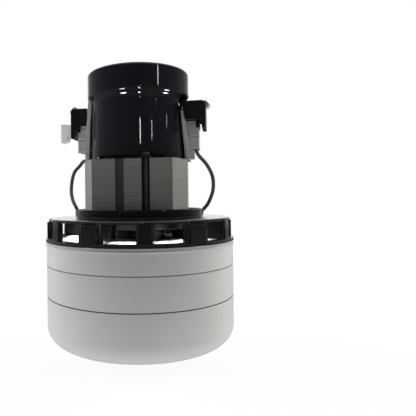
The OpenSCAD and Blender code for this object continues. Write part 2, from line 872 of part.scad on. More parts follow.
// field
module core_outline() {
    w = core_w / 2;
    d = core_d / 2;
    polygon([
        [core_face_w, -d],
        [w, -core_side_w],
        [w, core_side_w],
        [core_face_w, d],
        [-core_face_w, d],
        [-w, core_side_w],
        [-w, -core_side_w],
        [-core_face_w, -d]
    ]);
}

module shoe_wedge() {
    far = 2 * coil_space_r;
    polygon([
        [0, 0],
        [far * sin(shoe_half_angle), far * cos(shoe_half_angle)],
        [0, 2 * far],
        [-far * sin(shoe_half_angle), far * cos(shoe_half_angle)]
    ]);
}

module core_section() {
    groove_x = 8.8;
    difference() {
        union() {
            difference() {
                core_outline();
                circle(coil_space_r);
            }
            intersection() {
                circle(coil_space_r + e);
                square([pole_w, core_d], center = true);
            }
            for (s = [0, 180]) rotate(s) intersection() {
                circle(bore_d / 2 + shoe_t);
                shoe_wedge();
            }
        }
        circle(bore_d / 2);
        for (s = [0, 180]) rotate(s) {
            translate([bolt_x - bolt_slot_w / 2, -core_d / 2 - 1]) square([bolt_slot_w, bolt_inset + bolt_slot_w / 2 + 1]);
            translate([-groove_x - core_groove_w / 2, -core_d / 2 - 1]) square([core_groove_w, core_groove_depth + 1]);
        }
    }
}

module field_core() color(steel) {
    translate([0, 0, z_core]) rotate([0, 0, field_turn]) linear_extrude(core_h) core_section();
}

module field_coil() {
    a = coil_hole_half_angle;
    difference() {
        sector(coil_in_r, coil_out_r, 90 - coil_half_angle, 90 + coil_half_angle,
            z_core - end_turn_h, z_core_top + end_turn_h);
        sector(coil_in_r - 1, coil_out_r + 1, 90 - a, 90 + a, z_core - 0.3, z_core_top + 0.3);
    }
}

module field_coil_front() color(copper) {
    rotate([0, 0, 180 + field_turn]) field_coil();
}

module field_coil_back() color(copper) {
    rotate([0, 0, field_turn]) field_coil();
}

module through_bolts() color(metal) {
    at_bolts() {
        translate([0, 0, z_well + 2]) cylinder(h = z_core_top + lug_t + e - z_well - 2, r = bolt_r);
        translate([0, 0, z_core_top + lug_t]) cylinder(h = bolt_head_h, r = bolt_head_r, $fn = 6);
    }
}

// commutator end
module arm_section(drop) {
    polygon([
        [waist_r - 4, z_arms],
        [prong_in - prong_gusset, z_arms],
        [prong_in, z_arms - prong_gusset],
        [prong_in, z_arms - drop],
        [arm_out, z_arms - drop],
        [arm_out, z_arms_top - arm_chamfer],
        [arm_out - arm_chamfer, z_arms_top],
        [cover_r + 0.4, z_arms_top],
        [cover_r + 0.4, z_bridge_top],
        [waist_r - 4, z_bridge_top]
    ]);
}

module clamp_axis() {
    translate([arm_out - arm_chamfer / 2, 0, z_arms_top - arm_chamfer / 2]) rotate([0, 45, 0]) children();
}

module bracket_arm(drop) {
    difference() {
        union() {
            rotate([90, 0, 0]) translate([0, 0, -arm_half_w]) linear_extrude(2 * arm_half_w) arm_section(drop);
            for (s = [-1, 1]) {
                y = s * (arm_half_w + barrel_half_w + 0.3) / 2;
                half = (arm_half_w - barrel_half_w - 0.3) / 2;
                block(prong_in - 4.6, prong_in - 2, y - half, y + half, z_arms - tooth_h, z_arms + e);
            }
        }
        clamp_axis() translate([0, 0, -clamp_len - 1]) cylinder(h = clamp_len + 6, r = clamp_d / 2 + fit_gap);
    }
}

// cheek of the right arm, in front of its brush holder's back plate
module arm_cheek() {
    front = -plate_top_half_w - cheek_gap - cheek_t;
    rotate([90, 0, 0]) translate([0, 0, -front - cheek_t]) linear_extrude(cheek_t) polygon([
        [cheek_top_x, z_arms_top],
        [cheek_foot_x, z_arms],
        [cheek_web_x + cheek_t, z_arms],
        [cheek_web_x + cheek_t, z_arms_top]
    ]);
    rotate([90, 0, 0]) translate([0, 0, arm_half_w - e]) linear_extrude(-front - arm_half_w + e) intersection() {
        arm_section(prong_h);
        translate([cheek_web_x, 0]) square([arm_out, z_arms_top]);
    }
}

module commutator_bracket() color(black) {
    base_middle_r = (base_in_r + post_r) / 2;
    lug_reach = bolt_y - sqrt(pow(base_middle_r, 2) - pow(bolt_x, 2));
    difference() {
        union() {
            tube(base_in_r, post_r, z_core_top, z_core_top + base_t);
            on_both_sides() {
                sector(base_in_r + 0.2, post_r - 0.2, 90 - post_half_angle, 90 + post_half_angle,
                    z_core_top + base_t / 2, z_bridge_top);
                block(-7, 7, 0, post_r - 1.2, z_arms, z_bridge_top);
                block(0, waist_r - 3, -arm_half_w, arm_half_w, z_arms, z_bridge_top);
            }
            bracket_arm(prong_h);
            rotate([0, 0, 180]) bracket_arm(left_prong_h);
            arm_cheek();
            at_bolts() {
                translate([0, 0, z_core_top]) cylinder(h = lug_t, r = lug_r);
                block(-lug_r, lug_r, 0, lug_reach, z_core_top, z_core_top + lug_t);
            }
            translate([0, 0, z_arms]) cylinder(h = bridge_h + 1, r = bracket_hub_r);
        }
        translate([0, 0, z_arms - 1]) cylinder(h = z_top_end - z_arms + 1, r = top_r + fit_gap);
        translate([0, 0, z_arms - 1]) cylinder(h = bridge_h + 5, r = top_r - 3);
        at_bolts() {
            translate([0, 0, z_core_top - 1]) cylinder(h = lug_t + 2, r = bolt_r + fit_gap);
            translate([0, 0, z_core_top + lug_t]) cylinder(h = bolt_head_h + 1, r = bolt_head_r + 0.3);
        }
    }
}

module cover_section(inset, z_low_end, z_high_end) {
    shoulder = shoulder_r - inset;
    hollow = hollow_r + inset;
    polygon([
        [0, z_low_end],
        [foot_r - inset, z_low_end],
        [foot_r - inset, z_foot],
        [waist_r - inset, z_hollow],
        [0, z_hollow]
    ]);
    difference() {
        polygon([[0, z_hollow], [hollow_c, z_hollow], [shoulder_c, z_shoulder], [0, z_shoulder]]);
        translate([hollow_c, z_hollow]) circle(hollow);
    }
    translate([shoulder_c, z_shoulder]) circle(shoulder);
    band(0, cover_r - inset, z_shoulder, z_high_end - cover_edge_r);
    band(0, cover_r - cover_edge_r, z_shoulder, z_high_end);
    translate([cover_r - cover_edge_r, z_high_end - cover_edge_r]) circle(cover_edge_r - inset);
}

module fan_cover() color(black) {
    half = cover_slot_w / 2;
    difference() {
        rotate_extrude() difference() {
            cover_section(0, z_foot, z_cover);
            cover_section(cover_t, z_foot - 1, z_cover - cover_t);
        }
        block(-cover_r, cover_r, -half, half, z_arms + 1, z_cover_slot);
        block(-cover_r, cover_r, -arm_half_w - 0.5, arm_half_w + 0.5, z_foot - 1, z_cover_slot);
        on_both_sides() block(arch_pad_left - foot_r, foot_r - arch_pad_right, -foot_r - 2, 0, z_foot - 1, z_foot + arch_h);
        at_bolts() block(-5.2, 5.2, -foot_r, foot_r / 2, z_foot - 1, z_core_top + lug_t + bolt_head_h + 0.6);
        for (r = [9, 17.5, 26], i = [0 : grille_spokes - 1])
            sector(r, r + 6, i * 360 / grille_spokes + 80 / r, (i + 1) * 360 / grille_spokes - 80 / r, z_cover - cover_t - 3, z_cover + 1);
        translate([0, 0, z_cover - cover_t - 3]) cylinder(h = cover_t + 4, r = 4.5);
    }
}

module cooling_fan() color(nylon) {
    difference() {
        union() {
            tube(top_bore_r + fit_gap, cooler_r, z_cooler, z_cooler + 1.6);
            tube(top_bore_r + fit_gap, cooler_hub_r, z_cooler, z_cooler + cooler_h - 2);
            for (i = [0 : cooler_blades - 1]) rotate([0, 0, i * 360 / cooler_blades])
                block(cooler_hub_r - 1, cooler_r - 0.4, -0.8, 0.8, z_cooler + 1, z_cooler + cooler_h);
        }
        translate([0, 0, z_cooler + cooler_h - 2]) cylinder(h = 10, r = cooler_hub_r + 4);
    }
}

module cooling_fan_nut() color(steel) {
    z = z_cooler + cooler_h - 2;
    difference() {
        translate([0, 0, z]) cylinder(h = cooler_nut_h, r = 7.4, $fn = 6);
        translate([0, 0, z - 1]) cylinder(h = cooler_nut_h + 2, r = top_bore_r + fit_gap);
    }
}

// brush gear, drawn on the right and turned half a turn for the left
module brush_holder(z_top) {
    difference() {
        union() {
            intersection() {
                rotate([90, 0, 0]) translate([0, 0, -plate_top_half_w - 1]) linear_extrude(2 * plate_top_half_w + 2) polygon([
                    [plate_top_x, z_plate_top],
                    [plate_foot_x, z_core_top + 0.3],
                    [plate_foot_x + plate_t, z_core_top + 0.3],
                    [plate_top_x + plate_t, z_plate_top]
                ]);
                rotate([90, 0, 90]) linear_extrude(arm_out) polygon([
                    [-plate_top_half_w, z_top],
                    [-plate_top_half_w, z_arms],
                    [-plate_foot_half_w, z_core_top],
                    [plate_foot_half_w, z_core_top],
                    [plate_top_half_w, z_arms],
                    [plate_top_half_w, z_top]
                ]);
            }
            block(barrel_in, barrel_out, -barrel_half_w, barrel_half_w, z_barrel, z_arms);
            for (z = [z_barrel, z_brush - 1.2, z_arms - holder_lip_h])
                block(barrel_in, barrel_out + lip_t, -barrel_half_w - lip_t, barrel_half_w + lip_t, z, z + holder_lip_h);
            block(barrel_in, block_out, -block_w, 0, z_barrel - block_h, z_barrel + e);
        }
        block(plate_top_x - 2, waist_r + 6, -arm_half_w - 0.3, arm_half_w + 0.3, z_arms, z_arms_top + 0.3);
        block(plate_top_x - 2, brush_tube_out + cap_t, -tube_half_w - fit_gap, tube_half_w + fit_gap,
            z_brush - tube_half_h - fit_gap, z_brush + tube_half_h + fit_gap);
    }
}

module brush_tube() {
    difference() {
        block(tube_in, brush_tube_out, -tube_half_w, tube_half_w, z_brush - tube_half_h, z_brush + tube_half_h);
        block(tube_in - 1, brush_tube_out + 1, -tube_half_w + brush_tube_t, tube_half_w - brush_tube_t,
            z_brush - tube_half_h + brush_tube_t, z_brush + tube_half_h - brush_tube_t);
    }
}

module brush_cap() {
    block(brush_tube_out, brush_tube_out + cap_t, -tube_half_w, tube_half_w,
        z_brush - tube_half_h, z_brush + tube_half_h);
}

module brush() {
    difference() {
        block(brush_in - 3, brush_out, -brush_w / 2, brush_w / 2, z_brush - brush_h / 2, z_brush + brush_h / 2);
        translate([0, 0, z_brush - brush_h]) cylinder(h = 2 * brush_h, r = brush_in);
    }
}

module brush_holder_right() color(grey) {
    brush_holder(z_right_plate_top);
}

module brush_holder_left() color(grey) {
    rotate([0, 0, 180]) brush_holder(z_plate_top);
}

module brush_tube_right() color(brass) {
    brush_tube();
}

module brush_tube_left() color(brass) {
    rotate([0, 0, 180]) brush_tube();
}

module brush_cap_right() color(brass) {
    brush_cap();
}

module brush_cap_left() color(brass) {
    rotate([0, 0, 180]) brush_cap();
}

module brush_right() color(carbon) {
    brush();
}

module brush_left() color(carbon) {
    rotate([0, 0, 180]) brush();
}

module clamp_screws() color(metal) {
    on_both_sides() clamp_axis() {
        translate([0, 0, -clamp_len]) cylinder(h = clamp_len + e, r = clamp_d / 2);
        cylinder(h = 0.6, r = clamp_head_d / 2 + 0.5);
        difference() {
            cylinder(h = clamp_head_h, r = clamp_head_d / 2);
            block(-clamp_head_d, clamp_head_d, -0.5, 0.5, clamp_head_h - 1, clamp_head_h + 1);
        }
    }
}

// swept tubes: rings of points along a route, joined into one closed skin
function unit(v) = v / norm(v);
function tangent(p, i) =
    i == 0 ? unit(p[1] - p[0]) :
    i == len(p) - 1 ? unit(p[i] - p[i - 1]) :
    unit(unit(p[i + 1] - p[i]) + unit(p[i] - p[i - 1]));
function ring_at(p, i, r, n, across) =
    let(t = tangent(p, i), u = unit(cross(t, across)), w = cross(u, t))
    [for (k = [0 : n - 1]) p[i] + r * (u * cos(360 * k / n) + w * sin(360 * k / n))];
function skin_faces(rings, n) = concat(
    [[for (k = [0 : n - 1]) k]],
    [for (i = [0 : rings - 2], k = [0 : n - 1]) [i * n + k, (i + 1) * n + k, i * n + (k + 1) % n]],
    [for (i = [0 : rings - 2], k = [0 : n - 1]) [i * n + (k + 1) % n, (i + 1) * n + k, (i + 1) * n + (k + 1) % n]],
    [[for (k = [n - 1 : -1 : 0]) (rings - 1) * n + k]]
);

module swept(route, r, n, across) {
    rings = [for (i = [0 : len(route) - 1]) each ring_at(route, i, r, n, across)];
    polyhedron(points = rings, faces = skin_faces(len(route), n), convexity = 8);
}

module lead_right() color(black) {
    swept(right_route, lead_d / 2, lead_sides, [0, 1, 0]);
}

module lead_left() color(black) {
    swept(left_route, lead_d / 2, lead_sides, [0, 1, 0]);
}

spring_rings = spring_curls * 8;
spring_points = [for (i = [0 : spring_rings]) [
    spring_start + (spring_end - spring_start) * i / spring_rings,
    spring_r * cos(45 * i),
    z_brush + spring_r * sin(45 * i)
]];
spring_gap = min([for (i = [0 : spring_rings - 8]) norm(spring_points[i + 8] - spring_points[i])]) - spring_wire_d;
echo(spring_gap = spring_gap);

module brush_spring() {
    swept(spring_points, spring_wire_d / 2, 6, [1, 0, 0]);
}

module brush_spring_right() color(steel) {
    brush_spring();
}

module brush_spring_left() color(steel) {
    rotate([0, 0, 180]) brush_spring();
}

// supply connector on the left arm
module supply_connector() color(nylon) {
    y0 = connector_y - connector_w / 2;
    y1 = connector_y + connector_w / 2;
    z1 = z_connector + connector_h;
    difference() {
        rotate([90, 0, 0]) translate([0, 0, -y1]) linear_extrude(connector_w) polygon([
            [-connector_out, z_connector],
            [-connector_out + 5, z_connector + 1.6],
            [-connector_out + 5, z_connector + 4.6],
            [-arm_out, z_connector + 5.6],
            [-arm_out, z1 - 1],
            [-connector_out, z1]
        ]);
        block(-connector_out - 1, -arm_out - 2.6, y0 + connector_t, y1 - connector_t,
            z_connector + 6.2, z1 - connector_t - 0.6);
    }
}

module supply_blade() color(brass) {
    block(-connector_out + 1.5, -arm_out - 2.6, connector_y - 0.4, connector_y - 0.4 + blade_tab_t,
        z_connector + 7.2, z_connector + connector_h - 3);
}

// rotor
module shaft() color(steel) {
    translate([0, 0, z_shaft_end]) cylinder(h = z_low_top - z_shaft_end, r = shaft_r);
    translate([0, 0, z_low_top]) cylinder(h = z_comm_top + 2 - z_low_top, r = arm_shaft_r);
    translate([0, 0, z_comm_top + 1]) cylinder(h = z_top - z_comm_top - 1, r = top_pitch_d / 2 - top_ball_d * 0.35);
    translate([0, 0, z_top - e]) cylinder(h = z_shaft_top - z_top + e, r = top_bore_r);
}

module armature_core() color(steel) {
    translate([0, 0, z_arm]) linear_extrude(armature_h) difference() {
        circle(arm_core_r);
        circle(arm_shaft_r + fit_gap);
        for (i = [0 : armature_slots - 1]) rotate(i * 360 / armature_slots) translate([arm_core_r - 8, 0]) {
            translate([0, -2.2]) square([6, 4.4]);
            translate([5, -0.9]) square([5, 1.8]);
        }
    }
}

module armature_winding() color(copper) {
    tube(arm_shaft_r + 1, end_winding_r, z_arm - winding_h, z_arm);
    tube(arm_shaft_r + 1, end_winding_r, z_arm_top, z_arm_top + winding_h);
    tube(arm_shaft_r + 1, comm_r - 0.5, z_arm_top + winding_h, z_comm - 1.5);
}

module commutator_hub() color(carbon) {
    tube(arm_shaft_r + fit_gap, hub_in_r, z_comm - 1.5, z_comm_top + 0.5);
}

module commutator_bars() color(copper) {
    gap_angle = comm_gap / comm_r * 180 / PI;
    step = 360 / comm_bars;
    for (i = [0 : comm_bars - 1]) rotate([0, 0, i * step + gap_angle / 2]) rotate_extrude(angle = step - gap_angle) {
        band(hub_in_r + fit_gap, comm_r, z_comm, z_comm_top);
        band(hub_in_r + fit_gap, comm_r + 2, z_comm, z_comm + 1.8);
    }
}

intake_tube();
intake_shell();
middle_shell();
upper_shell();
stage_plate_1();
stage_plate_2();
outlet_plate();
exhaust_bracket();
lower_bearing_outer();
lower_bearing_inner();
lower_bearing_balls();
lower_bearing_cage();
bearing_retainer();
retainer_screws();
field_core();
field_coil_front();
field_coil_back();
through_bolts();
commutator_bracket();
upper_bearing_outer();
upper_bearing_inner();
upper_bearing_balls();
upper_bearing_cage();
fan_cover();
brush_holder_right();
brush_holder_left();
brush_tube_right();
brush_tube_left();
brush_cap_right();
brush_cap_left();
brush_spring_right();
brush_spring_left();
brush_right();
brush_left();
clamp_screws();
supply_connector();
supply_blade();
lead_right();
lead_left();
shaft();
armature_core();
armature_winding();
commutator_hub();
commutator_bars();
cooling_fan();
cooling_fan_nut();
impeller_1();
impeller_2();
impeller_3();
fan_spacers();
fan_washer();
fan_nut();
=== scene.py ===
"""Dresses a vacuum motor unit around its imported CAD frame.

The unit is a three-stage suction fan in pressed grey shells with a brush motor on top.
Its shells, plastics, stack and inner works are CAD nodes with procedural finishes.
The leads, springs and windings are surfaces worked out here, because they bend or are wound.
All lengths are in metres, in the frame's own axes.
"""

import logging
import math
from dataclasses import dataclass
from enum import Enum
from typing import ClassVar

import bpy
import numpy as np
from mathutils import Matrix, Vector


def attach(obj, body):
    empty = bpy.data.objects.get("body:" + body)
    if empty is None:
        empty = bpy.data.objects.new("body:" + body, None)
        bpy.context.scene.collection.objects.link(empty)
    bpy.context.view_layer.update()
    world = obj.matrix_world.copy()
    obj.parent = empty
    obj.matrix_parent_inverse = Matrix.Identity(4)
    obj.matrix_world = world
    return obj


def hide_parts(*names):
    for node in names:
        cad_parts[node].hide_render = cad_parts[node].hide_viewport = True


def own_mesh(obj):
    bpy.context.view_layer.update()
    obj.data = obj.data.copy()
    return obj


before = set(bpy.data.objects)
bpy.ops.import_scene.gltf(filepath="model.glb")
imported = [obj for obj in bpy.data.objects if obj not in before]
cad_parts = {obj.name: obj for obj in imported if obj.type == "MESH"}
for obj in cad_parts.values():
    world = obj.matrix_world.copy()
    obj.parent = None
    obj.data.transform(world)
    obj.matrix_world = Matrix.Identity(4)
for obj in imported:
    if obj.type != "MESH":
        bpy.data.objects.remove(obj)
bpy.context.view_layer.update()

log = logging.getLogger("motor")

MM = 0.001
IMAGE_PX = 416
SENSOR_MM = 36.0
WHITE = (1.0, 1.0, 1.0, 1.0)
NOISE_SPAN = (0.3, 0.7)
EDGE_HIGHLIGHT_COSINES = (0.985, 0.86)

Colour = tuple[float, float, float]
Point = tuple[float, float, float]
Span = tuple[float, float]
Route = tuple[Point, ...]
Socket = bpy.types.NodeSocket
Piece = bpy.types.Object


class Pattern(Enum):
    """The ways in which a finish varies over its surface."""

    GRAIN = "grain"
    BRUSHED = "brushed"
    SPUN = "spun"
    SHEETS = "sheets"
    WIRES = "wires"


class Graph:
    """Adds nodes to one node tree and links them by socket name."""

    def __init__(self, tree: bpy.types.NodeTree) -> None:
        """Keeps the tree that the nodes go into: a material's, a group's or the world's."""
        self.tree = tree

    def node(self, kind: str, inputs: dict | None = None, **settings: object) -> bpy.types.Node:
        """Makes one node and feeds its inputs.

        Args:
            kind: Blender's name for the node type.
            inputs: socket names or numbers, each with a value or an output socket to link.
            settings: properties that are set on the node.

        Returns:
            The new node.
        """
        made = self.tree.nodes.new(kind)
        for name, value in settings.items():
            setattr(made, name, value)
        for name, value in (inputs or {}).items():
            if isinstance(value, Socket):
                self.tree.links.new(value, made.inputs[name])
            else:
                made.inputs[name].default_value = value
        return made

    def math(self, operation: str, a: object, b: object = 0.0) -> Socket:
        """Returns the output of a Math node that works on a and b."""
        return self.node("ShaderNodeMath", {0: a, 1: b}, operation=operation).outputs[0]

    def times(self, a: object, b: object) -> Socket:
        """Returns a times b."""
        return self.math("MULTIPLY", a, b)

    def vector(self, operation: str, a: object, b: object = (0.0, 0.0, 0.0)) -> bpy.types.NodeOutputs:
        """Returns the outputs of a Vector Math node that works on a and b."""
        return self.node("ShaderNodeVectorMath", {0: a, 1: b}, operation=operation).outputs

    def parts(self, where: Socket) -> bpy.types.NodeOutputs:
        """Returns a vector's parts, by the names X, Y and Z."""
        return self.node("ShaderNodeSeparateXYZ", {0: where}).outputs

    def remap(self, value: object, low: float, high: float, new_low: float, new_high: float) -> Socket:
        """Returns value carried, and clamped, from one range to another."""
        ends = {"Value": value, "From Min": low, "From Max": high, "To Min": new_low, "To Max": new_high}
        return self.node("ShaderNodeMapRange", ends).outputs[0]

    def mix(self, factor: object, a: object, b: object) -> Socket:
        """Returns colour a changed to colour b by factor."""
        made = self.node("ShaderNodeMix", {0: factor, 6: a, 7: b}, data_type="RGBA")
        return made.outputs[2]

    def radius(self, where: Socket) -> Socket:
        """Returns a point's distance from the Z axis."""
        flat = self.vector("MULTIPLY", where, (1.0, 1.0, 0.0))[0]
        return self.vector("LENGTH", flat)["Value"]

    def off(self, value: object, middle: float) -> Socket:
        """Returns how far value is from middle, without a sign."""
        return self.math("ABSOLUTE", self.math("SUBTRACT", value, middle))

    def spread(self, noise: Socket) -> Socket:
        """Returns a noise value stretched to 0 to 1, because most of it lies within NOISE_SPAN."""
        return self.remap(noise, *NOISE_SPAN, 0.0, 1.0)

    def noise(self, vector: object, scale: object, detail: float = 4.0, rough: float = 0.55) -> Socket:
        """Returns a noise value of about 0 to 1 at vector."""
        inputs = {"Vector": vector, "Scale": scale, "Detail": detail, "Roughness": rough}
        return self.node("ShaderNodeTexNoise", inputs).outputs["Fac"]


class Effects:
    """The node groups that the finishes share, each built once."""

    def __init__(self) -> None:
        """Starts with no group built."""
        self.built: dict[str, bpy.types.NodeTree] = {}

    def group(self, name: str, inputs: tuple[str, ...], outputs: tuple[str, ...]) -> tuple[Graph, dict]:
        """Starts a group with a vector input and value sockets.

        Args:
            name: the group's name.
            inputs: names of its value inputs, after Vector.
            outputs: names of its value outputs.

        Returns:
            The group's graph, and its input sockets by name with "out" for its output node.
        """
        tree = bpy.data.node_groups.new(name, "ShaderNodeTree")
        tree.interface.new_socket("Vector", in_out="INPUT", socket_type="NodeSocketVector")
        for one in inputs:
            tree.interface.new_socket(one, in_out="INPUT", socket_type="NodeSocketFloat")
        for one in outputs:
            tree.interface.new_socket(one, in_out="OUTPUT", socket_type="NodeSocketFloat")
        graph = Graph(tree)
        ends: dict = dict(graph.node("NodeGroupInput").outputs.items())
        ends["out"] = graph.node("NodeGroupOutput")
        self.built[name] = tree
        return graph, ends

    def pattern(self, pattern: Pattern) -> bpy.types.NodeTree:
        """Returns the group of one pattern, with outputs Tint, Gloss and Height of 0 to 1."""
        if pattern.value not in self.built:
            graph, ends = self.group(pattern.value, ("Pitch",), ("Tint", "Gloss", "Height"))
            made = getattr(self, "_" + pattern.value)(graph, ends)
            for name, socket in zip(("Tint", "Gloss", "Height"), made):
                graph.tree.links.new(socket, ends["out"].inputs[name])
        return self.built[pattern.value]

    def dust(self) -> bpy.types.NodeTree:
        """Returns the group for dust, which lies in patches on faces that look up."""
        if "dust" not in self.built:
            graph, ends = self.group("dust", ("Amount",), ("Mask",))
            normal = graph.node("ShaderNodeNewGeometry").outputs["Normal"]
            up = graph.parts(normal)["Z"]
            lies = graph.remap(up, 0.2, 0.95, 0.15, 1.0)
            patch = graph.remap(graph.noise(ends["Vector"], 240.0, 6.0, 0.7), 0.42, 0.72, 0.0, 1.0)
            mask = graph.times(graph.times(lies, patch), ends["Amount"])
            graph.tree.links.new(mask, ends["out"].inputs["Mask"])
        return self.built["dust"]

    @staticmethod
    def _grain(graph: Graph, ends: dict) -> tuple:
        """Even grain: fine noise for the height and broad noise for the tint and the gloss."""
        scale = graph.math("DIVIDE", 1.0, ends["Pitch"])
        fine = graph.noise(ends["Vector"], scale, 3.0)
        broad = graph.noise(ends["Vector"], graph.times(scale, 0.06), 5.0)
        gloss = graph.noise(ends["Vector"], graph.times(scale, 0.17), 4.0)
        tint = graph.math("ADD", graph.times(fine, 0.35), graph.times(broad, 0.65))
        return graph.spread(tint), graph.spread(gloss), fine

    @staticmethod
    def _brushed(graph: Graph, ends: dict) -> tuple:
        """Straight streaks along Z: noise on coordinates that are squeezed along Z."""
        scale = graph.math("DIVIDE", 1.0, ends["Pitch"])
        along = {"Vector": ends["Vector"], "Scale": (1.0, 1.0, 0.04)}
        squeezed = graph.node("ShaderNodeMapping", along).outputs[0]
        streak = graph.noise(squeezed, scale, 5.0, 0.7)
        broad = graph.noise(ends["Vector"], graph.times(scale, 0.05), 4.0)
        return graph.spread(streak), graph.spread(broad), streak

    @staticmethod
    def _spun(graph: Graph, ends: dict) -> tuple:
        """Rings round the Z axis: noise on (distance from the axis, 0, z), with broad mottling."""
        scale = graph.math("DIVIDE", 1.0, ends["Pitch"])
        round_and_up = {0: graph.radius(ends["Vector"]), 2: graph.parts(ends["Vector"])["Z"]}
        rings_at = graph.node("ShaderNodeCombineXYZ", round_and_up).outputs[0]
        rings = graph.noise(rings_at, scale, 4.0, 0.65)
        broad = graph.noise(ends["Vector"], graph.times(scale, 0.035), 5.0)
        fine = graph.noise(ends["Vector"], graph.times(scale, 0.8), 2.0)
        height = graph.math("ADD", graph.times(rings, 0.4), graph.times(fine, 0.6))
        tint = graph.math("ADD", graph.times(rings, 0.3), graph.times(broad, 0.7))
        return graph.spread(tint), graph.spread(broad), height

    @staticmethod
    def _sheets(graph: Graph, ends: dict) -> tuple:
        """Stacked sheets along Z: each has its own tint, grooves between them, soft bands of three."""
        z = graph.parts(ends["Vector"])["Z"]
        place = graph.math("DIVIDE", z, ends["Pitch"])
        sheet = graph.math("FLOOR", place)
        own = graph.node("ShaderNodeTexWhiteNoise", {"W": sheet}, noise_dimensions="1D").outputs["Value"]
        edge = graph.math("PINGPONG", place, 0.5)
        groove = graph.remap(edge, 0.0, 0.16, 0.0, 1.0)
        stain = graph.noise(ends["Vector"], 90.0, 6.0, 0.65)
        band = graph.math("PINGPONG", graph.math("DIVIDE", place, 3.0), 0.5)
        tint = graph.math("ADD", graph.times(own, 0.12), graph.times(stain, 0.35))
        tint = graph.math("ADD", tint, graph.times(band, 1.3))
        height = graph.math("ADD", groove, graph.times(own, 0.6))
        return graph.remap(tint, 0.2, 0.95, 0.0, 1.0), graph.spread(stain), height

    @staticmethod
    def _wires(graph: Graph, ends: dict) -> tuple:
        """Enamelled wires: tint and gloss wander from wire to wire and along them."""
        scale = graph.math("DIVIDE", 1.0, ends["Pitch"])
        wire = graph.noise(ends["Vector"], scale, 2.0)
        broad = graph.noise(ends["Vector"], graph.times(scale, 0.1), 4.0)
        return graph.spread(wire), graph.spread(broad), wire


EFFECTS = Effects()


@dataclass(frozen=True)
class Finish:
    """One surface finish.

    Attributes:
        name: its name, from which the material's name is made.
        colour, shade: the main colour, and the one that the pattern turns it to.
        roughness: the least and the greatest roughness.
        pattern, pitch, relief: how the surface varies, at what scale and how deep.
        metallic, specular, coat, coat_roughness, transmission: plain values of the shader.
        edge: radius by which edges look rounded.
        edge_highlight, edge_highlight_colour: how strongly rounded edges are lightened by a painted
            highlight, and its colour.
        dust, dust_colour: amount of the dust that lies on it, and its colour.
    """

    name: str
    colour: Colour
    shade: Colour
    roughness: Span
    pattern: Pattern
    pitch: float
    relief: float
    metallic: float = 0.0
    specular: float = 0.5
    coat: float = 0.0
    coat_roughness: float = 0.1
    transmission: float = 0.0
    edge: float = 0.0
    edge_highlight: float = 0.0
    edge_highlight_colour: Colour = (0.5, 0.5, 0.5)
    dust: float = 0.0
    dust_colour: Colour = (0.42, 0.41, 0.38)
    built: ClassVar[dict[str, bpy.types.Material]] = {}

    def material(self) -> bpy.types.Material:
        """Builds the finish's material once, and returns it."""
        if self.name in self.built:
            return self.built[self.name]
        made = bpy.data.materials.new(self.name + "_finish")
        self.built[self.name] = made
        made.use_nodes = True
        made.node_tree.nodes.clear()
        graph = Graph(made.node_tree)
        where = graph.node("ShaderNodeTexCoord").outputs["Object"]
        look = graph.node("ShaderNodeGroup", node_tree=EFFECTS.pattern(self.pattern))
        graph.tree.links.new(where, look.inputs["Vector"])
        look.inputs["Pitch"].default_value = self.pitch
        colour = graph.mix(look.outputs["Tint"], (*self.colour, 1.0), (*self.shade, 1.0))
        colour = self.marked(graph, where, colour)
        roughness = graph.remap(look.outputs["Gloss"], 0.0, 1.0, *self.roughness)
        if self.dust > 0.0:
            lying = graph.node("ShaderNodeGroup", node_tree=EFFECTS.dust())
            graph.tree.links.new(where, lying.inputs["Vector"])
            lying.inputs["Amount"].default_value = self.dust
            colour = graph.mix(lying.outputs["Mask"], colour, (*self.dust_colour, 1.0))
            roughness = graph.math("ADD", roughness, graph.times(lying.outputs["Mask"], 0.4))
        bump_inputs = {"Height": look.outputs["Height"], "Strength": 1.0, "Distance": self.relief}
        if self.edge > 0.0:
            soft = graph.node("ShaderNodeBevel", {"Radius": self.edge}, samples=4).outputs[0]
            bump_inputs["Normal"] = soft
            # Painted highlight: rounded edges are lightened towards the edge colour, as if they caught the
            # light.
            if self.edge_highlight > 0.0:
                painted_highlight = self.edge_highlight_mask(graph, soft, look.outputs["Gloss"])
                colour = graph.mix(painted_highlight, colour, (*self.edge_highlight_colour, 1.0))
        bump = graph.node("ShaderNodeBump", bump_inputs)
        shader = graph.node("ShaderNodeBsdfPrincipled", {
            "Base Color": colour,
            "Roughness": roughness,
            "Metallic": self.metallic,
            "Specular IOR Level": self.specular,
            "Coat Weight": self.polish(graph, where),
            "Coat Roughness": self.coat_roughness,
            "Transmission Weight": self.transmission,
            "Normal": bump.outputs["Normal"],
        })
        graph.node("ShaderNodeOutputMaterial", {"Surface": shader.outputs[0]})
        return made

    def marked(self, graph: Graph, where: Socket, colour: Socket) -> Socket:
        """Returns the colour with the marks that only this finish has, which is none here.

        Args:
            graph: the material's graph.
            where: the point's coordinates.
            colour: the colour so far.

        Returns:
            The colour with the marks.
        """
        return colour

    def polish(self, graph: Graph, where: Socket) -> float | Socket:
        """Returns the weight of the surface's clear coat, the same everywhere here."""
        return self.coat

    def edge_highlight_mask(self, graph: Graph, soft: Socket, patch: Socket) -> Socket:
        """Returns a painted highlight's mask, at most edge_highlight, that rises where the rounded normal
        turns away from the face's own.

        Args:
            graph: the material's graph.
            soft: the normal with rounded edges.
            patch: an uneven value between 0 and 1 that breaks the painted highlight up.
        """
        face = graph.node("ShaderNodeNewGeometry").outputs["Normal"]
        along = graph.vector("DOT_PRODUCT", soft, face)["Value"]
        turned = graph.remap(along, *EDGE_HIGHLIGHT_COSINES, 0.0, self.edge_highlight)
        return graph.times(turned, graph.remap(patch, 0.25, 0.75, 0.45, 1.0))

    def on(self, piece: Piece) -> None:
        """Gives the finish to a piece, in place of the materials it has."""
        piece.data.materials.clear()
        piece.data.materials.append(self.material())


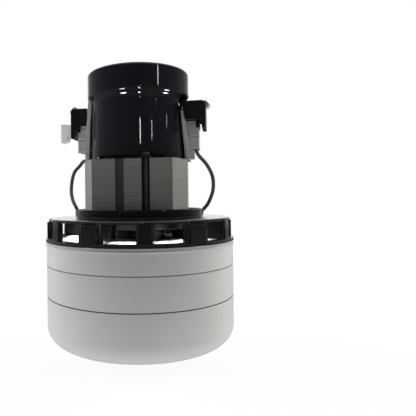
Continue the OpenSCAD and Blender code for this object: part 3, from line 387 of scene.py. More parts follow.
@dataclass(frozen=True)
class SeamedPaint(Finish):
    """Paint with painted shade in the seams between two shells, where the gaps between them would be dark."""

    seams: tuple[float, ...] = (62.2 * MM, 85.3 * MM)
    filled: tuple[float, ...] = (1.0, 0.62)
    seam_half: float = 0.42 * MM
    seam_shade: Colour = (0.035, 0.035, 0.033)

    def marked(self, graph: Graph, where: Socket, colour: Socket) -> Socket:
        """Returns the colour darkened by painted shade where a point's height is within seam_half of a seam.
        """
        height = graph.parts(where)["Z"]
        for seam, share in zip(self.seams, self.filled):
            # Painted shade: each seam line is darkened as if shaded in its gap.
            mask = graph.remap(graph.off(height, seam), self.seam_half * 0.6, self.seam_half, share, 0.0)
            colour = graph.mix(mask, colour, (*self.seam_shade, 1.0))
        return colour


@dataclass(frozen=True)
class StackFinish(Finish):
    """Sheet edges with painted shade in the stack's front and back recesses."""

    turn: float = math.radians(3.0)
    face: float = 38.0 * MM
    reach: float = 16.0 * MM
    recess: Span = (0.9 * MM, 0.3 * MM)
    fade: float = 1.0 * MM
    recess_shade: Colour = (0.050, 0.048, 0.047)

    def marked(self, graph: Graph, where: Socket, colour: Socket) -> Socket:
        """Returns the colour darkened by painted shade where the surface lies behind the stack's flat faces.
        """
        square_on = {"Vector": where, "Rotation": (0.0, 0.0, -self.turn)}
        turned = graph.node("ShaderNodeMapping", square_on).outputs[0]
        parts = graph.parts(turned)
        deep, shallow = self.recess
        out = graph.math("ABSOLUTE", parts["Y"])
        behind = graph.remap(out, self.face - deep, self.face - shallow, 1.0, 0.0)
        aside = graph.math("ABSOLUTE", parts["X"])
        inside = graph.remap(aside, self.reach, self.reach + self.fade, 1.0, 0.0)
        # Painted shade: the recesses are darkened as if shaded.
        return graph.mix(graph.times(behind, inside), colour, (*self.recess_shade, 1.0))


@dataclass(frozen=True)
class RimmedPlate(Finish):
    """A pale plate whose rim is painted like the shells."""

    rim: float = 70.8 * MM
    fade: float = 0.4 * MM
    rim_colour: Colour = (0.36, 0.372, 0.36)

    def marked(self, graph: Graph, where: Socket, colour: Socket) -> Socket:
        """Returns the colour changed to the rim's where a point lies further out than rim."""
        painted = graph.remap(graph.radius(where), self.rim, self.rim + self.fade, 0.0, 1.0)
        return graph.mix(painted, colour, (*self.rim_colour, 1.0))


@dataclass(frozen=True)
class RingPlastic(Finish):
    """Moulded plastic that is polished outside and hardly reflects inside."""

    polished: float = 66.5 * MM
    sill: float = 118.5 * MM
    fade: float = 1.0 * MM

    def polish(self, graph: Graph, where: Socket) -> float | Socket:
        """Returns a coat that starts at the radius named polished and covers all above the windows."""
        above = graph.remap(graph.parts(where)["Z"], self.sill, self.sill + self.fade, 0.0, 1.0)
        outside = graph.remap(graph.radius(where), self.polished, self.polished + self.fade, 0.0, 1.0)
        return graph.remap(graph.math("MAXIMUM", above, outside), 0.0, 1.0, 0.0, self.coat)


@dataclass(frozen=True)
class RidgedPlastic(Finish):
    """Moulded plastic with a painted highlight along each ridge and a painted shade line under each.

    A mark's pale and dark give the share of half that it fills, and its strength there.
    """

    ridges: tuple[float, ...] = (172.6 * MM, 182.4 * MM, 192.4 * MM)
    half: float = 0.55 * MM
    painted_highlight: Colour = (0.50, 0.51, 0.49)
    painted_shade: Colour = (0.10, 0.10, 0.095)
    pale: Span = (0.6, 0.8)
    dark: Span = (0.4, 0.6)
    back: float = 41.5 * MM
    fade: float = 0.8 * MM

    def marked(self, graph: Graph, where: Socket, colour: Socket) -> Socket:
        """Returns the barrel's colour with a painted highlight within half of a ridge's height and painted
        shade just under it.
        """
        parts = graph.parts(where)
        barrel = graph.remap(graph.math("ABSOLUTE", parts["X"]), self.back, self.back + self.fade, 0.0, 1.0)
        for ridge in self.ridges:
            pale = self.line(graph, graph.off(parts["Z"], ridge), self.pale)
            dark = self.line(graph, graph.off(parts["Z"], ridge - 2.0 * self.half), self.dark)
            # Painted shade just under each ridge, then a painted highlight along it.
            colour = graph.mix(graph.times(barrel, dark), colour, (*self.painted_shade, 1.0))
            colour = graph.mix(graph.times(barrel, pale), colour, (*self.painted_highlight, 1.0))
        return colour

    def line(self, graph: Graph, away: Socket, mark: Span) -> Socket:
        """Returns a line's mask, by how far a point is away from its middle."""
        filled, strength = mark
        return graph.remap(away, filled * self.half, self.half, strength, 0.0)


# The shells' seams carry painted shade.
SHELL_PAINT = SeamedPaint("shell_paint", (0.47, 0.49, 0.475), (0.435, 0.45, 0.435), (0.40, 0.50),
                          Pattern.SPUN, 0.0011, 0.000012, metallic=0.1, edge=0.0003)
ZINC_SHEET = Finish("zinc_sheet", (0.55, 0.50, 0.38), (0.44, 0.41, 0.31), (0.30, 0.44), Pattern.SPUN,
                    0.0009, 0.000012, metallic=0.75, edge=0.0003)
PALE_PLATE = RimmedPlate("pale_plate", (0.88, 0.88, 0.85), (0.80, 0.80, 0.76), (0.34, 0.46), Pattern.SPUN,
                         0.0007, 0.000006)
FAN_ALUMINIUM = Finish("fan_aluminium", (0.78, 0.78, 0.76), (0.68, 0.68, 0.65), (0.28, 0.42), Pattern.SPUN,
                       0.0007, 0.00001, metallic=0.9, edge=0.0002)
BLACK_GLOSS = Finish("black_gloss", (0.0105, 0.0110, 0.0145), (0.0135, 0.0140, 0.0175), (0.035, 0.06),
                     Pattern.GRAIN, 0.020, 0.00004, edge=0.0005, dust=0.006)
# The ring's rounded edges carry a painted highlight.
BLACK_SATIN = RingPlastic("black_satin", (0.0085, 0.009, 0.0120), (0.0125, 0.013, 0.0160), (0.13, 0.19),
                          Pattern.GRAIN, 0.0012, 0.000008, specular=0.04, coat=0.9, coat_roughness=0.16,
                          edge=0.0006, edge_highlight=0.8, edge_highlight_colour=(0.11, 0.11, 0.115), dust=0.012)
BLACK_MATT = Finish("black_matt", (0.0062, 0.0068, 0.0098), (0.0090, 0.0096, 0.0130), (0.30, 0.42),
                    Pattern.GRAIN, 0.0012, 0.000014, specular=0.25, edge=0.0005, dust=0.01)
# The stack's recesses carry painted shade.
LAMINATION = StackFinish("lamination", (0.245, 0.235, 0.220), (0.130, 0.124, 0.115), (0.46, 0.62),
                         Pattern.SHEETS, 0.0005, 0.00004, metallic=0.15)
WINDING = Finish("winding", (0.15, 0.055, 0.022), (0.085, 0.030, 0.013), (0.26, 0.40), Pattern.WIRES,
                 0.0009, 0.00002, metallic=0.5, coat=0.3)
COMMUTATOR = Finish("commutator_copper", (0.52, 0.22, 0.09), (0.40, 0.15, 0.06), (0.24, 0.38), Pattern.SPUN,
                    0.0006, 0.000008, metallic=1.0)
BRIGHT_STEEL = Finish("bright_steel", (0.66, 0.66, 0.64), (0.54, 0.54, 0.52), (0.18, 0.32), Pattern.GRAIN,
                      0.0008, 0.000008, metallic=1.0, edge=0.0002)
SCREW_STEEL = Finish("screw_steel", (0.26, 0.26, 0.25), (0.17, 0.17, 0.16), (0.28, 0.40), Pattern.GRAIN,
                     0.0008, 0.00001, metallic=0.15, edge=0.0002)
DARK_STEEL = Finish("dark_steel", (0.17, 0.16, 0.145), (0.10, 0.094, 0.085), (0.36, 0.50), Pattern.GRAIN,
                    0.0010, 0.00001, metallic=0.7, edge=0.0002)
# The holders carry painted highlights on their rounded edges and ridges, and painted shade under the ridges.
HOLDER_GREY = RidgedPlastic("holder_grey", (0.385, 0.399, 0.383), (0.320, 0.333, 0.317), (0.40, 0.52),
                            Pattern.GRAIN, 0.0011, 0.000016, edge=0.0005, edge_highlight=0.7,
                            edge_highlight_colour=(0.62, 0.63, 0.61), dust=0.05)
BRASS = Finish("brass", (0.60, 0.43, 0.16), (0.48, 0.33, 0.12), (0.24, 0.38), Pattern.BRUSHED,
               0.0007, 0.000008, metallic=1.0, edge=0.0002)
CARBON = Finish("carbon", (0.022, 0.022, 0.023), (0.040, 0.039, 0.038), (0.50, 0.68), Pattern.GRAIN,
                0.0005, 0.000015, metallic=0.2, edge=0.0002)
NYLON = Finish("nylon", (0.93, 0.94, 0.90), (0.87, 0.88, 0.84), (0.28, 0.40), Pattern.GRAIN,
               0.0020, 0.000012, transmission=0.12, edge=0.0004)
LEAD_COVER = Finish("lead_cover", (0.074, 0.075, 0.080), (0.099, 0.100, 0.106), (0.26, 0.36), Pattern.GRAIN,
                    0.0008, 0.00001, dust=0.03)


def linked(name: str, data: bpy.types.ID) -> Piece:
    """Makes an object and links it into the scene."""
    made = bpy.data.objects.new(name, data)
    bpy.context.scene.collection.objects.link(made)
    return made


class Surface:
    """Meshes from grids of points worked out as whole arrays."""

    @staticmethod
    def circle(count: int) -> np.ndarray:
        """Returns evenly spaced angles of one full turn."""
        return np.linspace(0.0, 2.0 * math.pi, count, endpoint=False)

    @staticmethod
    def grid_faces(rows: int, columns: int, wrap_rows: bool) -> np.ndarray:
        """Joins a grid of points, closed round its columns, into quads.

        Args:
            rows: points along the path.
            columns: points round the section.
            wrap_rows: whether the last row joins the first.

        Returns:
            An array of quads, each the numbers of four points.
        """
        i = np.arange(rows if wrap_rows else rows - 1)[:, None]
        j = np.arange(columns)[None, :]
        after_i = (i + 1) % rows
        after_j = (j + 1) % columns
        corners = (i * columns + j, after_i * columns + j, after_i * columns + after_j, i * columns + after_j)
        return np.stack([c.ravel() for c in np.broadcast_arrays(*corners)], axis=1)

    @classmethod
    def tube(cls, name: str, path: np.ndarray, radius: float, sides: int, across: Point) -> Piece:
        """Sweeps a circle along a path and closes both ends: point = path + radius (cos v * n + sin v * b).

        The direction n is across made square to the path's tangent, and b is the tangent crossed with n.

        Args:
            name: the piece's name.
            path: points along the centreline.
            radius: the tube's radius.
            sides: points round the tube.
            across: a direction that the path never runs along.
        """
        tangent = np.gradient(path, axis=0)
        tangent /= np.linalg.norm(tangent, axis=1, keepdims=True)
        side = np.asarray(across) - (tangent @ np.asarray(across))[:, None] * tangent
        side /= np.linalg.norm(side, axis=1, keepdims=True)
        other = np.cross(tangent, side)
        v = cls.circle(sides)
        ring = np.cos(v)[None, :, None] * side[:, None, :] + np.sin(v)[None, :, None] * other[:, None, :]
        points = path[:, None, :] + radius * ring
        faces = cls.grid_faces(len(path), sides, False)[:, ::-1].tolist()
        last = (len(path) - 1) * sides
        caps = [list(range(sides - 1, -1, -1)), list(range(last, last + sides))]
        return cls.piece(name, points.reshape(-1, 3), faces + caps)

    @staticmethod
    def piece(name: str, points: np.ndarray, faces: list) -> Piece:
        """Makes a smooth mesh piece at the origin and links it into the scene.

        Args:
            name: the piece's name.
            points: its points.
            faces: its faces, each a list of point numbers that runs counter-clockwise seen from outside.
        """
        mesh = bpy.data.meshes.new(name)
        mesh.from_pydata(points.tolist(), [], faces)
        mesh.polygons.foreach_set("use_smooth", np.ones(len(mesh.polygons), dtype=bool))
        mesh.update()
        return linked(name, mesh)

    @staticmethod
    def spline(points: np.ndarray, count: int) -> np.ndarray:
        """Runs a natural cubic spline through points, by their distance along the route.

        The second derivatives m solve h m' + 2 (h + h') m + h' m'' = 6 (slope' - slope).
        They are 0 at both ends.

        Args:
            points: the route's own points.
            count: how many points to return.

        Returns:
            Points along the curve, evenly spaced in the parameter.
        """
        gaps = np.linalg.norm(np.diff(points, axis=0), axis=1)
        knots = np.concatenate([[0.0], np.cumsum(gaps)])
        slopes = np.diff(points, axis=0) / gaps[:, None]
        system = np.eye(len(points))
        inner = np.arange(1, len(points) - 1)
        system[inner, inner - 1] = gaps[:-1]
        system[inner, inner] = 2.0 * (gaps[:-1] + gaps[1:])
        system[inner, inner + 1] = gaps[1:]
        right = np.zeros_like(points)
        right[1:-1] = 6.0 * np.diff(slopes, axis=0)
        bend = np.linalg.solve(system, right)
        at = np.linspace(0.0, knots[-1], count)
        k = np.clip(np.searchsorted(knots, at, side="right") - 1, 0, len(gaps) - 1)
        h = gaps[k][:, None]
        a = (knots[k + 1] - at)[:, None]
        b = (at - knots[k])[:, None]
        straight = (points[k] / h - bend[k] * h / 6.0) * a + (points[k + 1] / h - bend[k + 1] * h / 6.0) * b
        return straight + (bend[k] * a**3 + bend[k + 1] * b**3) / (6.0 * h)


@dataclass(frozen=True)
class Lamp:
    """One area lamp.

    Attributes:
        name: its name.
        degrees: angle right of the camera's direction.
        radius: distance from the unit's axis.
        height: height of its centre.
        size: width and height of its face.
        watts: its power.
        colour: its colour.
        shine: whether it only shows in glossy surfaces, or else only lights matt ones.
        aim: height on the axis that it looks at.
        spread: angle of its beam in degrees.
    """

    name: str
    degrees: float
    radius: float
    height: float
    size: Span
    watts: float
    colour: Colour = (1.0, 1.0, 1.0)
    shine: bool = False
    aim: float = 0.13
    spread: float = 180.0


LAMPS = (
    Lamp("left_lamp", -109.0, 1.0, 0.20, (0.9, 1.0), 24.5),
    Lamp("right_lamp", 109.0, 1.0, 0.20, (0.9, 1.0), 23.0, (1.0, 0.985, 0.955)),
    Lamp("top_lamp", 160.0, 0.3, 1.1, (0.7, 0.7), 3.0),
    Lamp("front_lamp", -8.0, 0.75, 1.0, (0.30, 0.12), 0.5),
    Lamp("streak_near", 4.0, 0.62, 0.305, (0.010, 0.048), 0.06, shine=True),
    Lamp("streak_right", 31.0, 0.62, 0.307, (0.007, 0.038), 0.025, shine=True),
    Lamp("streak_far", 70.0, 0.62, 0.321, (0.006, 0.026), 0.010, shine=True),
    Lamp("streak_collar", 43.0, 0.62, 0.394, (0.009, 0.040), 0.040, shine=True),
    Lamp("shoulder_left", -40.0, 0.20, 0.042, (0.07, 0.03), 0.008, shine=True, aim=0.25, spread=18.0),
    Lamp("shoulder_near", 3.0, 0.20, 0.042, (0.014, 0.04), 0.0022, shine=True, aim=0.25, spread=18.0),
    Lamp("shoulder_right", 82.0, 0.20, 0.042, (0.09, 0.03), 0.010, shine=True, aim=0.25, spread=18.0),
)


@dataclass
class Studio:
    """Camera, lamps, floor and surround.

    The camera's values were fitted to the photograph. Rows and columns are in pixels of the picture.
    The window values are for the lamps behind the discharge windows, on both sides of each pair's middle.
    The floor shows plain white to the eye by the glow values, and throws light up by the bounce values.
    A reach is two distances from the axis, and a share gives the values there.
    The card lightens from one facing, a cosine, to the other, by its two light values.
    """

    distance: float = 0.33808
    focal_px: float = 424.65
    axis_px: float = 139.3
    horizon_px: float = 199.36
    roll: float = 0.012
    azimuth: float = math.radians(11.0)
    eye_height: float = 0.134
    near_clip: float = 0.01
    ring_phase: float = 13.5
    window_pairs: int = 6
    window_offset: float = 13.3
    window_watts: float = 0.009
    window_size: float = 16.0 * MM
    window_spread: float = 100.0
    window_place: Span = (50.0 * MM, 117.5 * MM)
    ambient: float = 0.22
    floor_height: float = 0.026
    floor_rings: tuple[float, ...] = (6.0, 0.4, 0.12, 0.0275)
    floor_sides: int = 96
    floor_bright: Span = (0.94, 0.10)
    glow_reach: Span = (0.08, 0.32)
    glow_share: Span = (0.90, 1.0)
    bounce: float = 2.6
    bounce_reach: Span = (0.09, 0.20)
    bounce_share: Span = (0.5, 0.0)
    card_radius: float = 1.6
    card_half: float = 148.0
    card_heights: Span = (0.03, 1.6)
    card_columns: int = 40
    card_facing: Span = (0.3, -0.85)
    card_light: Span = (0.006, 0.42)

    def camera(self) -> None:
        """Sets the camera where the photograph was taken from."""
        lens = bpy.data.cameras.new("camera")
        lens.sensor_width = SENSOR_MM
        lens.lens = self.focal_px / IMAGE_PX * SENSOR_MM
        half = IMAGE_PX / 2
        lens.shift_x = (half - self.axis_px) / IMAGE_PX
        lens.shift_y = -(half - self.horizon_px) / IMAGE_PX
        lens.clip_start = self.near_clip
        eye = linked("camera", lens)
        place = self.around(0.0, self.distance, self.eye_height)
        turn = Matrix.Rotation(self.azimuth, 4, "Z") @ Matrix.Rotation(math.pi / 2, 4, "X")
        eye.matrix_world = Matrix.Translation(place) @ turn @ Matrix.Rotation(-self.roll, 4, "Z")
        bpy.context.scene.camera = eye
        bpy.context.scene.view_settings.view_transform = "Standard"

    def around(self, degrees: float, radius: float, height: float) -> Point:
        """Returns the point at an angle right of the camera's own direction, seen from above."""
        angle = self.azimuth + math.radians(degrees)
        return (radius * math.sin(angle), -radius * math.cos(angle), height)

    def hang(self, lamp: Lamp) -> None:
        """Hangs one rectangular lamp that looks at the unit's axis."""
        light = bpy.data.lights.new(lamp.name, "AREA")
        light.shape = "RECTANGLE"
        light.size, light.size_y = lamp.size
        light.energy = lamp.watts
        light.color = lamp.colour
        light.spread = math.radians(lamp.spread)
        holder = linked(lamp.name, light)
        place = Vector(self.around(lamp.degrees, lamp.radius, lamp.height))
        direction = place - Vector((0.0, 0.0, lamp.aim))
        turn = direction.to_track_quat("Z", "Y").to_matrix().to_4x4()
        holder.matrix_world = Matrix.Translation(place) @ turn
        holder.visible_camera = False
        holder.visible_glossy = lamp.shine
        holder.visible_diffuse = not lamp.shine

    def lamps(self) -> None:
        """Hangs the soft lamps, the lamps of the cover's streaks and those behind the windows."""
        for lamp in LAMPS:
            self.hang(lamp)
        for pair in range(self.window_pairs):
            middle = self.ring_phase + 360.0 / self.window_pairs * pair
            for side in (-1.0, 1.0):
                self.window_lamp(middle + side * self.window_offset)

    def window_lamp(self, degrees: float) -> None:
        """Lights the pale floor behind the discharge window at an angle from -Y towards +X."""
        light = bpy.data.lights.new("window_lamp", "AREA")
        light.size = self.window_size
        light.spread = math.radians(self.window_spread)
        light.energy = self.window_watts
        holder = linked("window_lamp", light)
        angle = math.radians(degrees)
        radius, height = self.window_place
        holder.location = (radius * math.sin(angle), -radius * math.cos(angle), height)
        holder.visible_camera = False
        holder.visible_glossy = False

    def surround(self) -> None:
        """Makes the white surround: white to the eye and to gloss, softer as a lamp."""
        world = bpy.data.worlds.new("surround")
        bpy.context.scene.world = world
        world.use_nodes = True
        world.node_tree.nodes.clear()
        graph = Graph(world.node_tree)
        path = graph.node("ShaderNodeLightPath").outputs
        seen = graph.math("MAXIMUM", path["Is Camera Ray"], path["Is Glossy Ray"])
        seen = graph.math("MAXIMUM", seen, path["Is Transmission Ray"])
        strength = graph.remap(seen, 0.0, 1.0, self.ambient, 1.0)
        back = graph.node("ShaderNodeBackground", {"Color": WHITE, "Strength": strength})
        graph.node("ShaderNodeOutputWorld", {"Surface": back.outputs[0]})

    def floor(self) -> None:
        """Lays a white floor at the shell's underside, with a hole for the intake tube.

        The floor is a flat ring: point = r (cos u, sin u), r between the hole and the rim.
        """
        u = Surface.circle(self.floor_sides)
        r = np.array(self.floor_rings)
        x, y = np.outer(r, np.cos(u)), np.outer(r, np.sin(u))
        points = np.stack([x, y, np.full_like(x, self.floor_height)], axis=2).reshape(-1, 3)
        faces = Surface.grid_faces(len(r), self.floor_sides, False)[:, ::-1].tolist()
        made = Surface.piece("floor", points, faces)
        graph = self.bare("floor_white", made)
        path = graph.node("ShaderNodeLightPath").outputs
        seen = graph.math("MAXIMUM", path["Is Camera Ray"], path["Is Transmission Ray"])
        bright = graph.remap(path["Is Glossy Ray"], 0.0, 1.0, *self.floor_bright)
        matt = graph.node("ShaderNodeBsdfDiffuse", {"Color": bright})
        bounced = path["Is Diffuse Ray"]
        strength = graph.remap(bounced, 0.0, 1.0, 1.0, self.bounce)
        glow = graph.node("ShaderNodeEmission", {"Color": WHITE, "Strength": strength})
        place = graph.node("ShaderNodeTexCoord").outputs["Object"]
        away = graph.vector("LENGTH", place)["Value"]
        plain = graph.times(seen, graph.remap(away, *self.glow_reach, *self.glow_share))
        lit = graph.times(bounced, graph.remap(away, *self.bounce_reach, *self.bounce_share))
        share = graph.math("ADD", plain, lit)
        white = graph.node("ShaderNodeMixShader", {0: share, 1: matt.outputs[0], 2: glow.outputs[0]})
        back = graph.node("ShaderNodeNewGeometry").outputs["Backfacing"]
        below = graph.times(back, path["Is Camera Ray"])
        clear = graph.node("ShaderNodeBsdfTransparent")
        both = graph.node("ShaderNodeMixShader", {0: below, 1: white.outputs[0], 2: clear.outputs[0]})
        graph.node("ShaderNodeOutputMaterial", {"Surface": both.outputs[0]})

    @staticmethod
    def bare(name: str, piece: Piece) -> Graph:
        """Gives a piece a new material without nodes, and returns the material's graph."""
        paint = bpy.data.materials.new(name)
        paint.use_nodes = True
        paint.node_tree.nodes.clear()
        piece.data.materials.append(paint)
        return Graph(paint.node_tree)

    def dark_side(self) -> None:
        """Stands a dark curved card behind the camera, as the unlit side of a room.

        The card is part of a cylinder: point = (R sin a, -R cos a, z) over a span of angles and heights.
        """
        across = np.linspace(-self.card_half, self.card_half, self.card_columns)
        a = (self.azimuth + np.radians(across))[:, None]
        z = np.array(self.card_heights)[None, :]
        radius = self.card_radius
        points = np.stack(np.broadcast_arrays(radius * np.sin(a), -radius * np.cos(a), z), axis=2)
        first = np.arange(self.card_columns - 1) * 2
        faces = np.stack([first, first + 1, first + 3, first + 2], axis=1).tolist()
        card = Surface.piece("dark_card", points.reshape(-1, 3), faces)
        graph = self.bare("card_dark", card)
        place = graph.node("ShaderNodeTexCoord").outputs["Object"]
        facing = graph.vector("DOT_PRODUCT", place, self.around(0.0, 1.0 / radius, 0.0))["Value"]
        turned = graph.remap(facing, *self.card_facing, 0.0, 1.0)
        strength = graph.remap(graph.times(turned, turned), 0.0, 1.0, *self.card_light)
        glow = graph.node("ShaderNodeEmission", {"Color": WHITE, "Strength": strength})
        graph.node("ShaderNodeOutputMaterial", {"Surface": glow.outputs[0]})
        card.visible_camera = False
        card.visible_diffuse = False
        card.visible_shadow = False

    def build(self) -> None:
        """Sets up the whole studio."""
        self.camera()
        self.surround()
        self.lamps()
        self.floor()
        self.dark_side()


class Assembly:
    """A group of CAD nodes, listed by their finish."""

    finishes: ClassVar[dict[Finish, tuple[str, ...]]] = {}

    def dress(self) -> None:
        """Gives each CAD node of the group its finish."""
        for finish, names in self.finishes.items():
            for name in names:
                finish.on(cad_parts[name])
                log.info("%s in %s", name, finish.name)


class FanStages(Assembly):
    """Pressed shells, intake tube, guide plates and impellers."""

    finishes = {
        ZINC_SHEET: ("intake_tube",),
        SHELL_PAINT: ("intake_shell", "middle_shell", "upper_shell"),
        FAN_ALUMINIUM: ("stage_plate_1", "stage_plate_2", "impeller_1", "impeller_2", "impeller_3"),
        PALE_PLATE: ("outlet_plate",),
        BRIGHT_STEEL: ("fan_spacers", "fan_washer", "fan_nut"),
    }


class MotorHousing(Assembly):
    """Exhaust ring, stack, bearings, upper frame and cover."""

    finishes = {
        BLACK_SATIN: ("exhaust_bracket",),
        BLACK_MATT: ("commutator_bracket",),
        BLACK_GLOSS: ("fan_cover",),
        LAMINATION: ("field_core",),
        DARK_STEEL: ("through_bolts",),
        BRIGHT_STEEL: ("lower_bearing_outer", "lower_bearing_inner", "lower_bearing_balls",
                       "upper_bearing_outer", "upper_bearing_inner", "upper_bearing_balls",
                       "bearing_retainer", "retainer_screws"),
        BRASS: ("lower_bearing_cage", "upper_bearing_cage"),
    }


@dataclass
class BrushGear(Assembly):
    """Brush holders, brushes, springs, clamp screws and the supply connector.

    A spring's wire runs from near to far. Seat and travel, for the cap's place and the brush's slide, are not
    used.
    """

    finishes = {
        HOLDER_GREY: ("brush_holder_right", "brush_holder_left"),
        BRASS: ("brush_tube_right", "brush_tube_left", "brush_cap_right", "brush_cap_left", "supply_blade"),
        CARBON: ("brush_right", "brush_left"),
        SCREW_STEEL: ("clamp_screws",),
        NYLON: ("supply_connector",),
    }
    spring_radius: float = 2.5 * MM
    wire: float = 0.7 * MM
    curls: int = 7
    curl_points: int = 36
    wire_sides: int = 12
    closing: float = 9.0
    brush_height: float = 183.0 * MM
    near: float = 34.02 * MM
    far: float = 44.95 * MM
    seat: float = 45.4 * MM
    travel: float = 6.0 * MM

    def spring(self, name: str, side: float) -> None:
        """Winds one brush spring: (x, y, z) = (along, R cos t, brush height + R sin t), t = 2 pi curls s.

        The pitch closes up at both ends by x = near + (far - near) (s - sin(2 pi s) / closing).

        Args:
            name: the CAD node that it stands for.
            side: 1 for the right brush and -1 for the left one.
        """
        s = np.linspace(0.0, 1.0, self.curls * self.curl_points + 1)
        t = 2.0 * math.pi * self.curls * s
        x = self.near + (self.far - self.near) * (s - np.sin(2.0 * math.pi * s) / self.closing)
        y = self.spring_radius * np.cos(t)
        z = self.brush_height + self.spring_radius * np.sin(t)
        path = np.stack([side * x, side * y, z], axis=1)
        made = Surface.tube(name + "_wire", path, self.wire / 2, self.wire_sides, (1.0, 0.0, 0.0))
        BRIGHT_STEEL.on(made)
        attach(made, "motor")
        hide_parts(name)
        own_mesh(made)
        log.info("%s wound", made.name)

    def build(self) -> None:
        """Dresses the CAD nodes and winds both springs."""
        self.dress()
        self.spring("brush_spring_right", 1.0)
        self.spring("brush_spring_left", -1.0)


@dataclass
class Windings:
    """Field coils and the armature's end turns, as wound bundles.

    Pairs run from low to high, or from the inside out. A power sets how square a rounded square is.
    A coil's grid is the points along its loop and on each wire, and its ripple the section's size and gain.
    A ring's grid is the points round it and round its section, and its swell the section's size and the
    gains of lobes and wires. The slant is the wires in a lobe, and how often they cross the section.
    """

    stack: Span = (122.6 * MM, 163.2 * MM)
    end_turn: float = 6.8 * MM
    clear: float = 0.3 * MM
    coil_radii: Span = (26.4 * MM, 31.5 * MM)
    coil_angles: Span = (math.radians(31.5), math.radians(60.0))
    turn: float = math.radians(3.0)
    wires: int = 34
    coil_grid: tuple[int, int] = (150, 4)
    coil_power: float = 5.0
    coil_ripple: Span = (0.93, 0.05)
    core: Span = (123.9 * MM, 161.9 * MM)
    end_depth: float = 5.0 * MM
    hub: float = 9.0 * MM
    rim: float = 18.6 * MM
    neck: float = 13.5 * MM
    neck_top: float = 172.0 * MM
    slots: int = 12
    ring_grid: tuple[int, int] = (240, 48)
    ring_power: float = 3.5
    ring_swell: tuple[float, float, float] = (0.93, 0.035, 0.02)
    slant: tuple[int, float] = (6, 5.0)

    @staticmethod
    def rounded(t: np.ndarray, power: float) -> tuple[np.ndarray, np.ndarray]:
        """Returns a rounded square's (x, y) at angles t, each from -1 to 1: sign(c) |c|^(2 / power)."""
        c, s = np.cos(t), np.sin(t)
        return np.sign(c) * np.abs(c) ** (2.0 / power), np.sign(s) * np.abs(s) ** (2.0 / power)

    def field_coil(self, name: str, facing: float) -> None:
        """Winds one field coil round its pole.

        Loop and section are rounded squares. A point lies between the inner and the outer loop by w,
        and between the two radii by d. Both follow the section, with a ripple for the wires.

        Args:
            name: the CAD node that it stands for.
            facing: the pole's angle round the axis.
        """
        rows = self.coil_grid[0]
        columns = self.wires * self.coil_grid[1]
        v = Surface.circle(columns)
        loop_x, loop_y = self.rounded(Surface.circle(rows), self.coil_power)
        sec_x, sec_y = self.rounded(v, self.coil_power)
        size, gain = self.coil_ripple
        ripple = size + gain * np.cos(self.wires * v)
        w = (0.5 + 0.5 * sec_x * ripple)[None, :]
        d = (0.5 + 0.5 * sec_y * ripple)[None, :]
        low, high = self.stack
        middle = (low + high) / 2
        inner_half = (high - low) / 2 + self.clear
        outer_half = (high - low) / 2 + self.end_turn
        hole, edge = self.coil_angles
        angle = facing + loop_x[:, None] * (hole + (edge - hole) * w)
        height = middle + loop_y[:, None] * (inner_half + (outer_half - inner_half) * w)
        near, far = self.coil_radii
        radius = near + (far - near) * d
        points = np.stack([radius * np.cos(angle), radius * np.sin(angle), height], axis=2)
        faces = Surface.grid_faces(rows, columns, True).tolist()
        made = Surface.piece(name + "_wires", points.reshape(-1, 3), faces)
        self.finish_winding(made, name, "motor")

    def end_ring(self, r_out: float, z_in: float, z_out: float, lobes: int) -> np.ndarray:
        """Returns one ring of end turns, from the hub out to r_out: a rounded section carried round the axis.

        The section is size + lobe cos(lobes u) + wire cos(wires lobes u + slant v) times its full width.
        """
        u = Surface.circle(self.ring_grid[0])[:, None]
        v = Surface.circle(self.ring_grid[1])
        sec_x, sec_y = self.rounded(v, self.ring_power)
        size, lobe, wire = self.ring_swell
        wires, slant = self.slant
        swell = size + lobe * np.cos(lobes * u) + wire * np.cos(wires * lobes * u + slant * v[None, :])
        radius = (self.hub + r_out) / 2 + (r_out - self.hub) / 2 * sec_x[None, :] * swell
        height = (z_in + z_out) / 2 + (z_out - z_in) / 2 * sec_y[None, :] * swell
        return np.stack([radius * np.cos(u), radius * np.sin(u), height], axis=2)

    def armature(self) -> None:
        """Winds the armature's two end rings and the neck of wires up to the commutator."""
        low, high = self.core
        above = high + self.end_depth
        rings = (
            self.end_ring(self.rim, low - self.end_depth, low, self.slots),
            self.end_ring(self.rim, high, above, self.slots),
            self.end_ring(self.neck, above, self.neck_top, 2 * self.slots),
        )
        faces = Surface.grid_faces(*self.ring_grid, True)
        count = math.prod(self.ring_grid)
        all_faces = np.concatenate([faces + i * count for i in range(len(rings))])
        points = np.concatenate([r.reshape(-1, 3) for r in rings])
        made = Surface.piece("armature_wires", points, all_faces.tolist())
        self.finish_winding(made, "armature_winding", "rotor")

    def finish_winding(self, made: Piece, node: str, body: str) -> None:
        """Dresses a winding and puts it in its node's place."""
        WINDING.on(made)
        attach(made, body)
        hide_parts(node)
        log.info("%s wound", made.name)

    def build(self) -> None:
        """Winds the coils and the armature."""
        self.field_coil("field_coil_back", math.pi / 2 + self.turn)
        self.field_coil("field_coil_front", -math.pi / 2 + self.turn)
        self.armature()


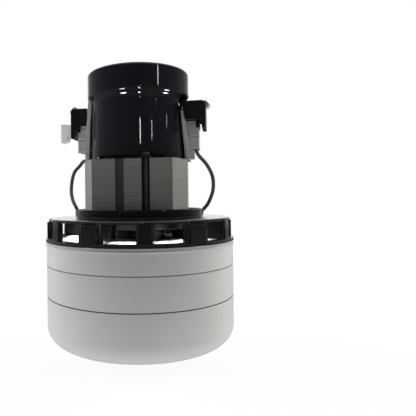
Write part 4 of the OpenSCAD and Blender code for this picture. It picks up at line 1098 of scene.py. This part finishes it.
class Rotor(Assembly):
    """Shaft, armature, commutator and cooling fan."""

    finishes = {
        BRIGHT_STEEL: ("shaft", "cooling_fan_nut"),
        LAMINATION: ("armature_core",),
        CARBON: ("commutator_hub",),
        COMMUTATOR: ("commutator_bars",),
        BLACK_SATIN: ("cooling_fan",),
    }


@dataclass
class Leads:
    """The two leads that run from the brush holders down into the seat ring, with routes in millimetres."""

    diameter: float = 2.8 * MM
    path_points: int = 140
    sides: int = 20
    right: Route = (
        (46.0, -2.5, 172.0), (46.0, -2.5, 170.5), (47.8, -2.0, 166.8), (51.4, -1.0, 162.8),
        (54.8, 0.2, 157.8), (57.4, 1.6, 151.8), (58.2, 3.0, 145.2), (57.4, 4.2, 138.8),
        (55.6, 5.0, 133.8), (53.2, 5.3, 129.2), (51.2, 5.2, 126.8), (49.2, 5.0, 124.8),
        (47.34, 4.98, 122.8), (47.34, 4.98, 120.1),
    )
    left: Route = (
        (-44.5, 3.0, 166.1), (-46.0, 3.0, 166.1), (-50.0, 2.6, 162.2), (-53.4, 2.0, 158.6),
        (-55.6, 1.0, 153.2), (-56.2, -0.6, 147.0), (-55.8, -2.6, 140.6), (-54.2, -4.8, 135.2),
        (-52.0, -6.8, 131.2), (-49.9, -8.2, 128.2), (-48.4, -8.4, 125.6),
        (-46.88, -8.27, 123.0), (-46.88, -8.27, 120.1),
    )

    def lead(self, node: str, route: Route) -> None:
        """Makes one lead as a round tube along its route.

        Args:
            node: the CAD node that it stands for.
            route: the points of the route, in millimetres.
        """
        path = Surface.spline(np.array(route) * MM, self.path_points)
        made = Surface.tube(node + "_cord", path, self.diameter / 2, self.sides, (0.0, 1.0, 0.0))
        LEAD_COVER.on(made)
        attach(made, "motor")
        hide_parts(node)

    def build(self) -> None:
        """Lays both leads."""
        self.lead("lead_right", self.right)
        self.lead("lead_left", self.left)


def main() -> None:
    """Builds the scene's parts in order."""
    logging.basicConfig(level=logging.INFO, format="%(name)s: %(message)s")
    Studio().build()
    Leads().build()
    FanStages().dress()
    MotorHousing().dress()
    BrushGear().build()
    Windings().build()
    Rotor().dress()


if __name__ == "__main__":
    main()
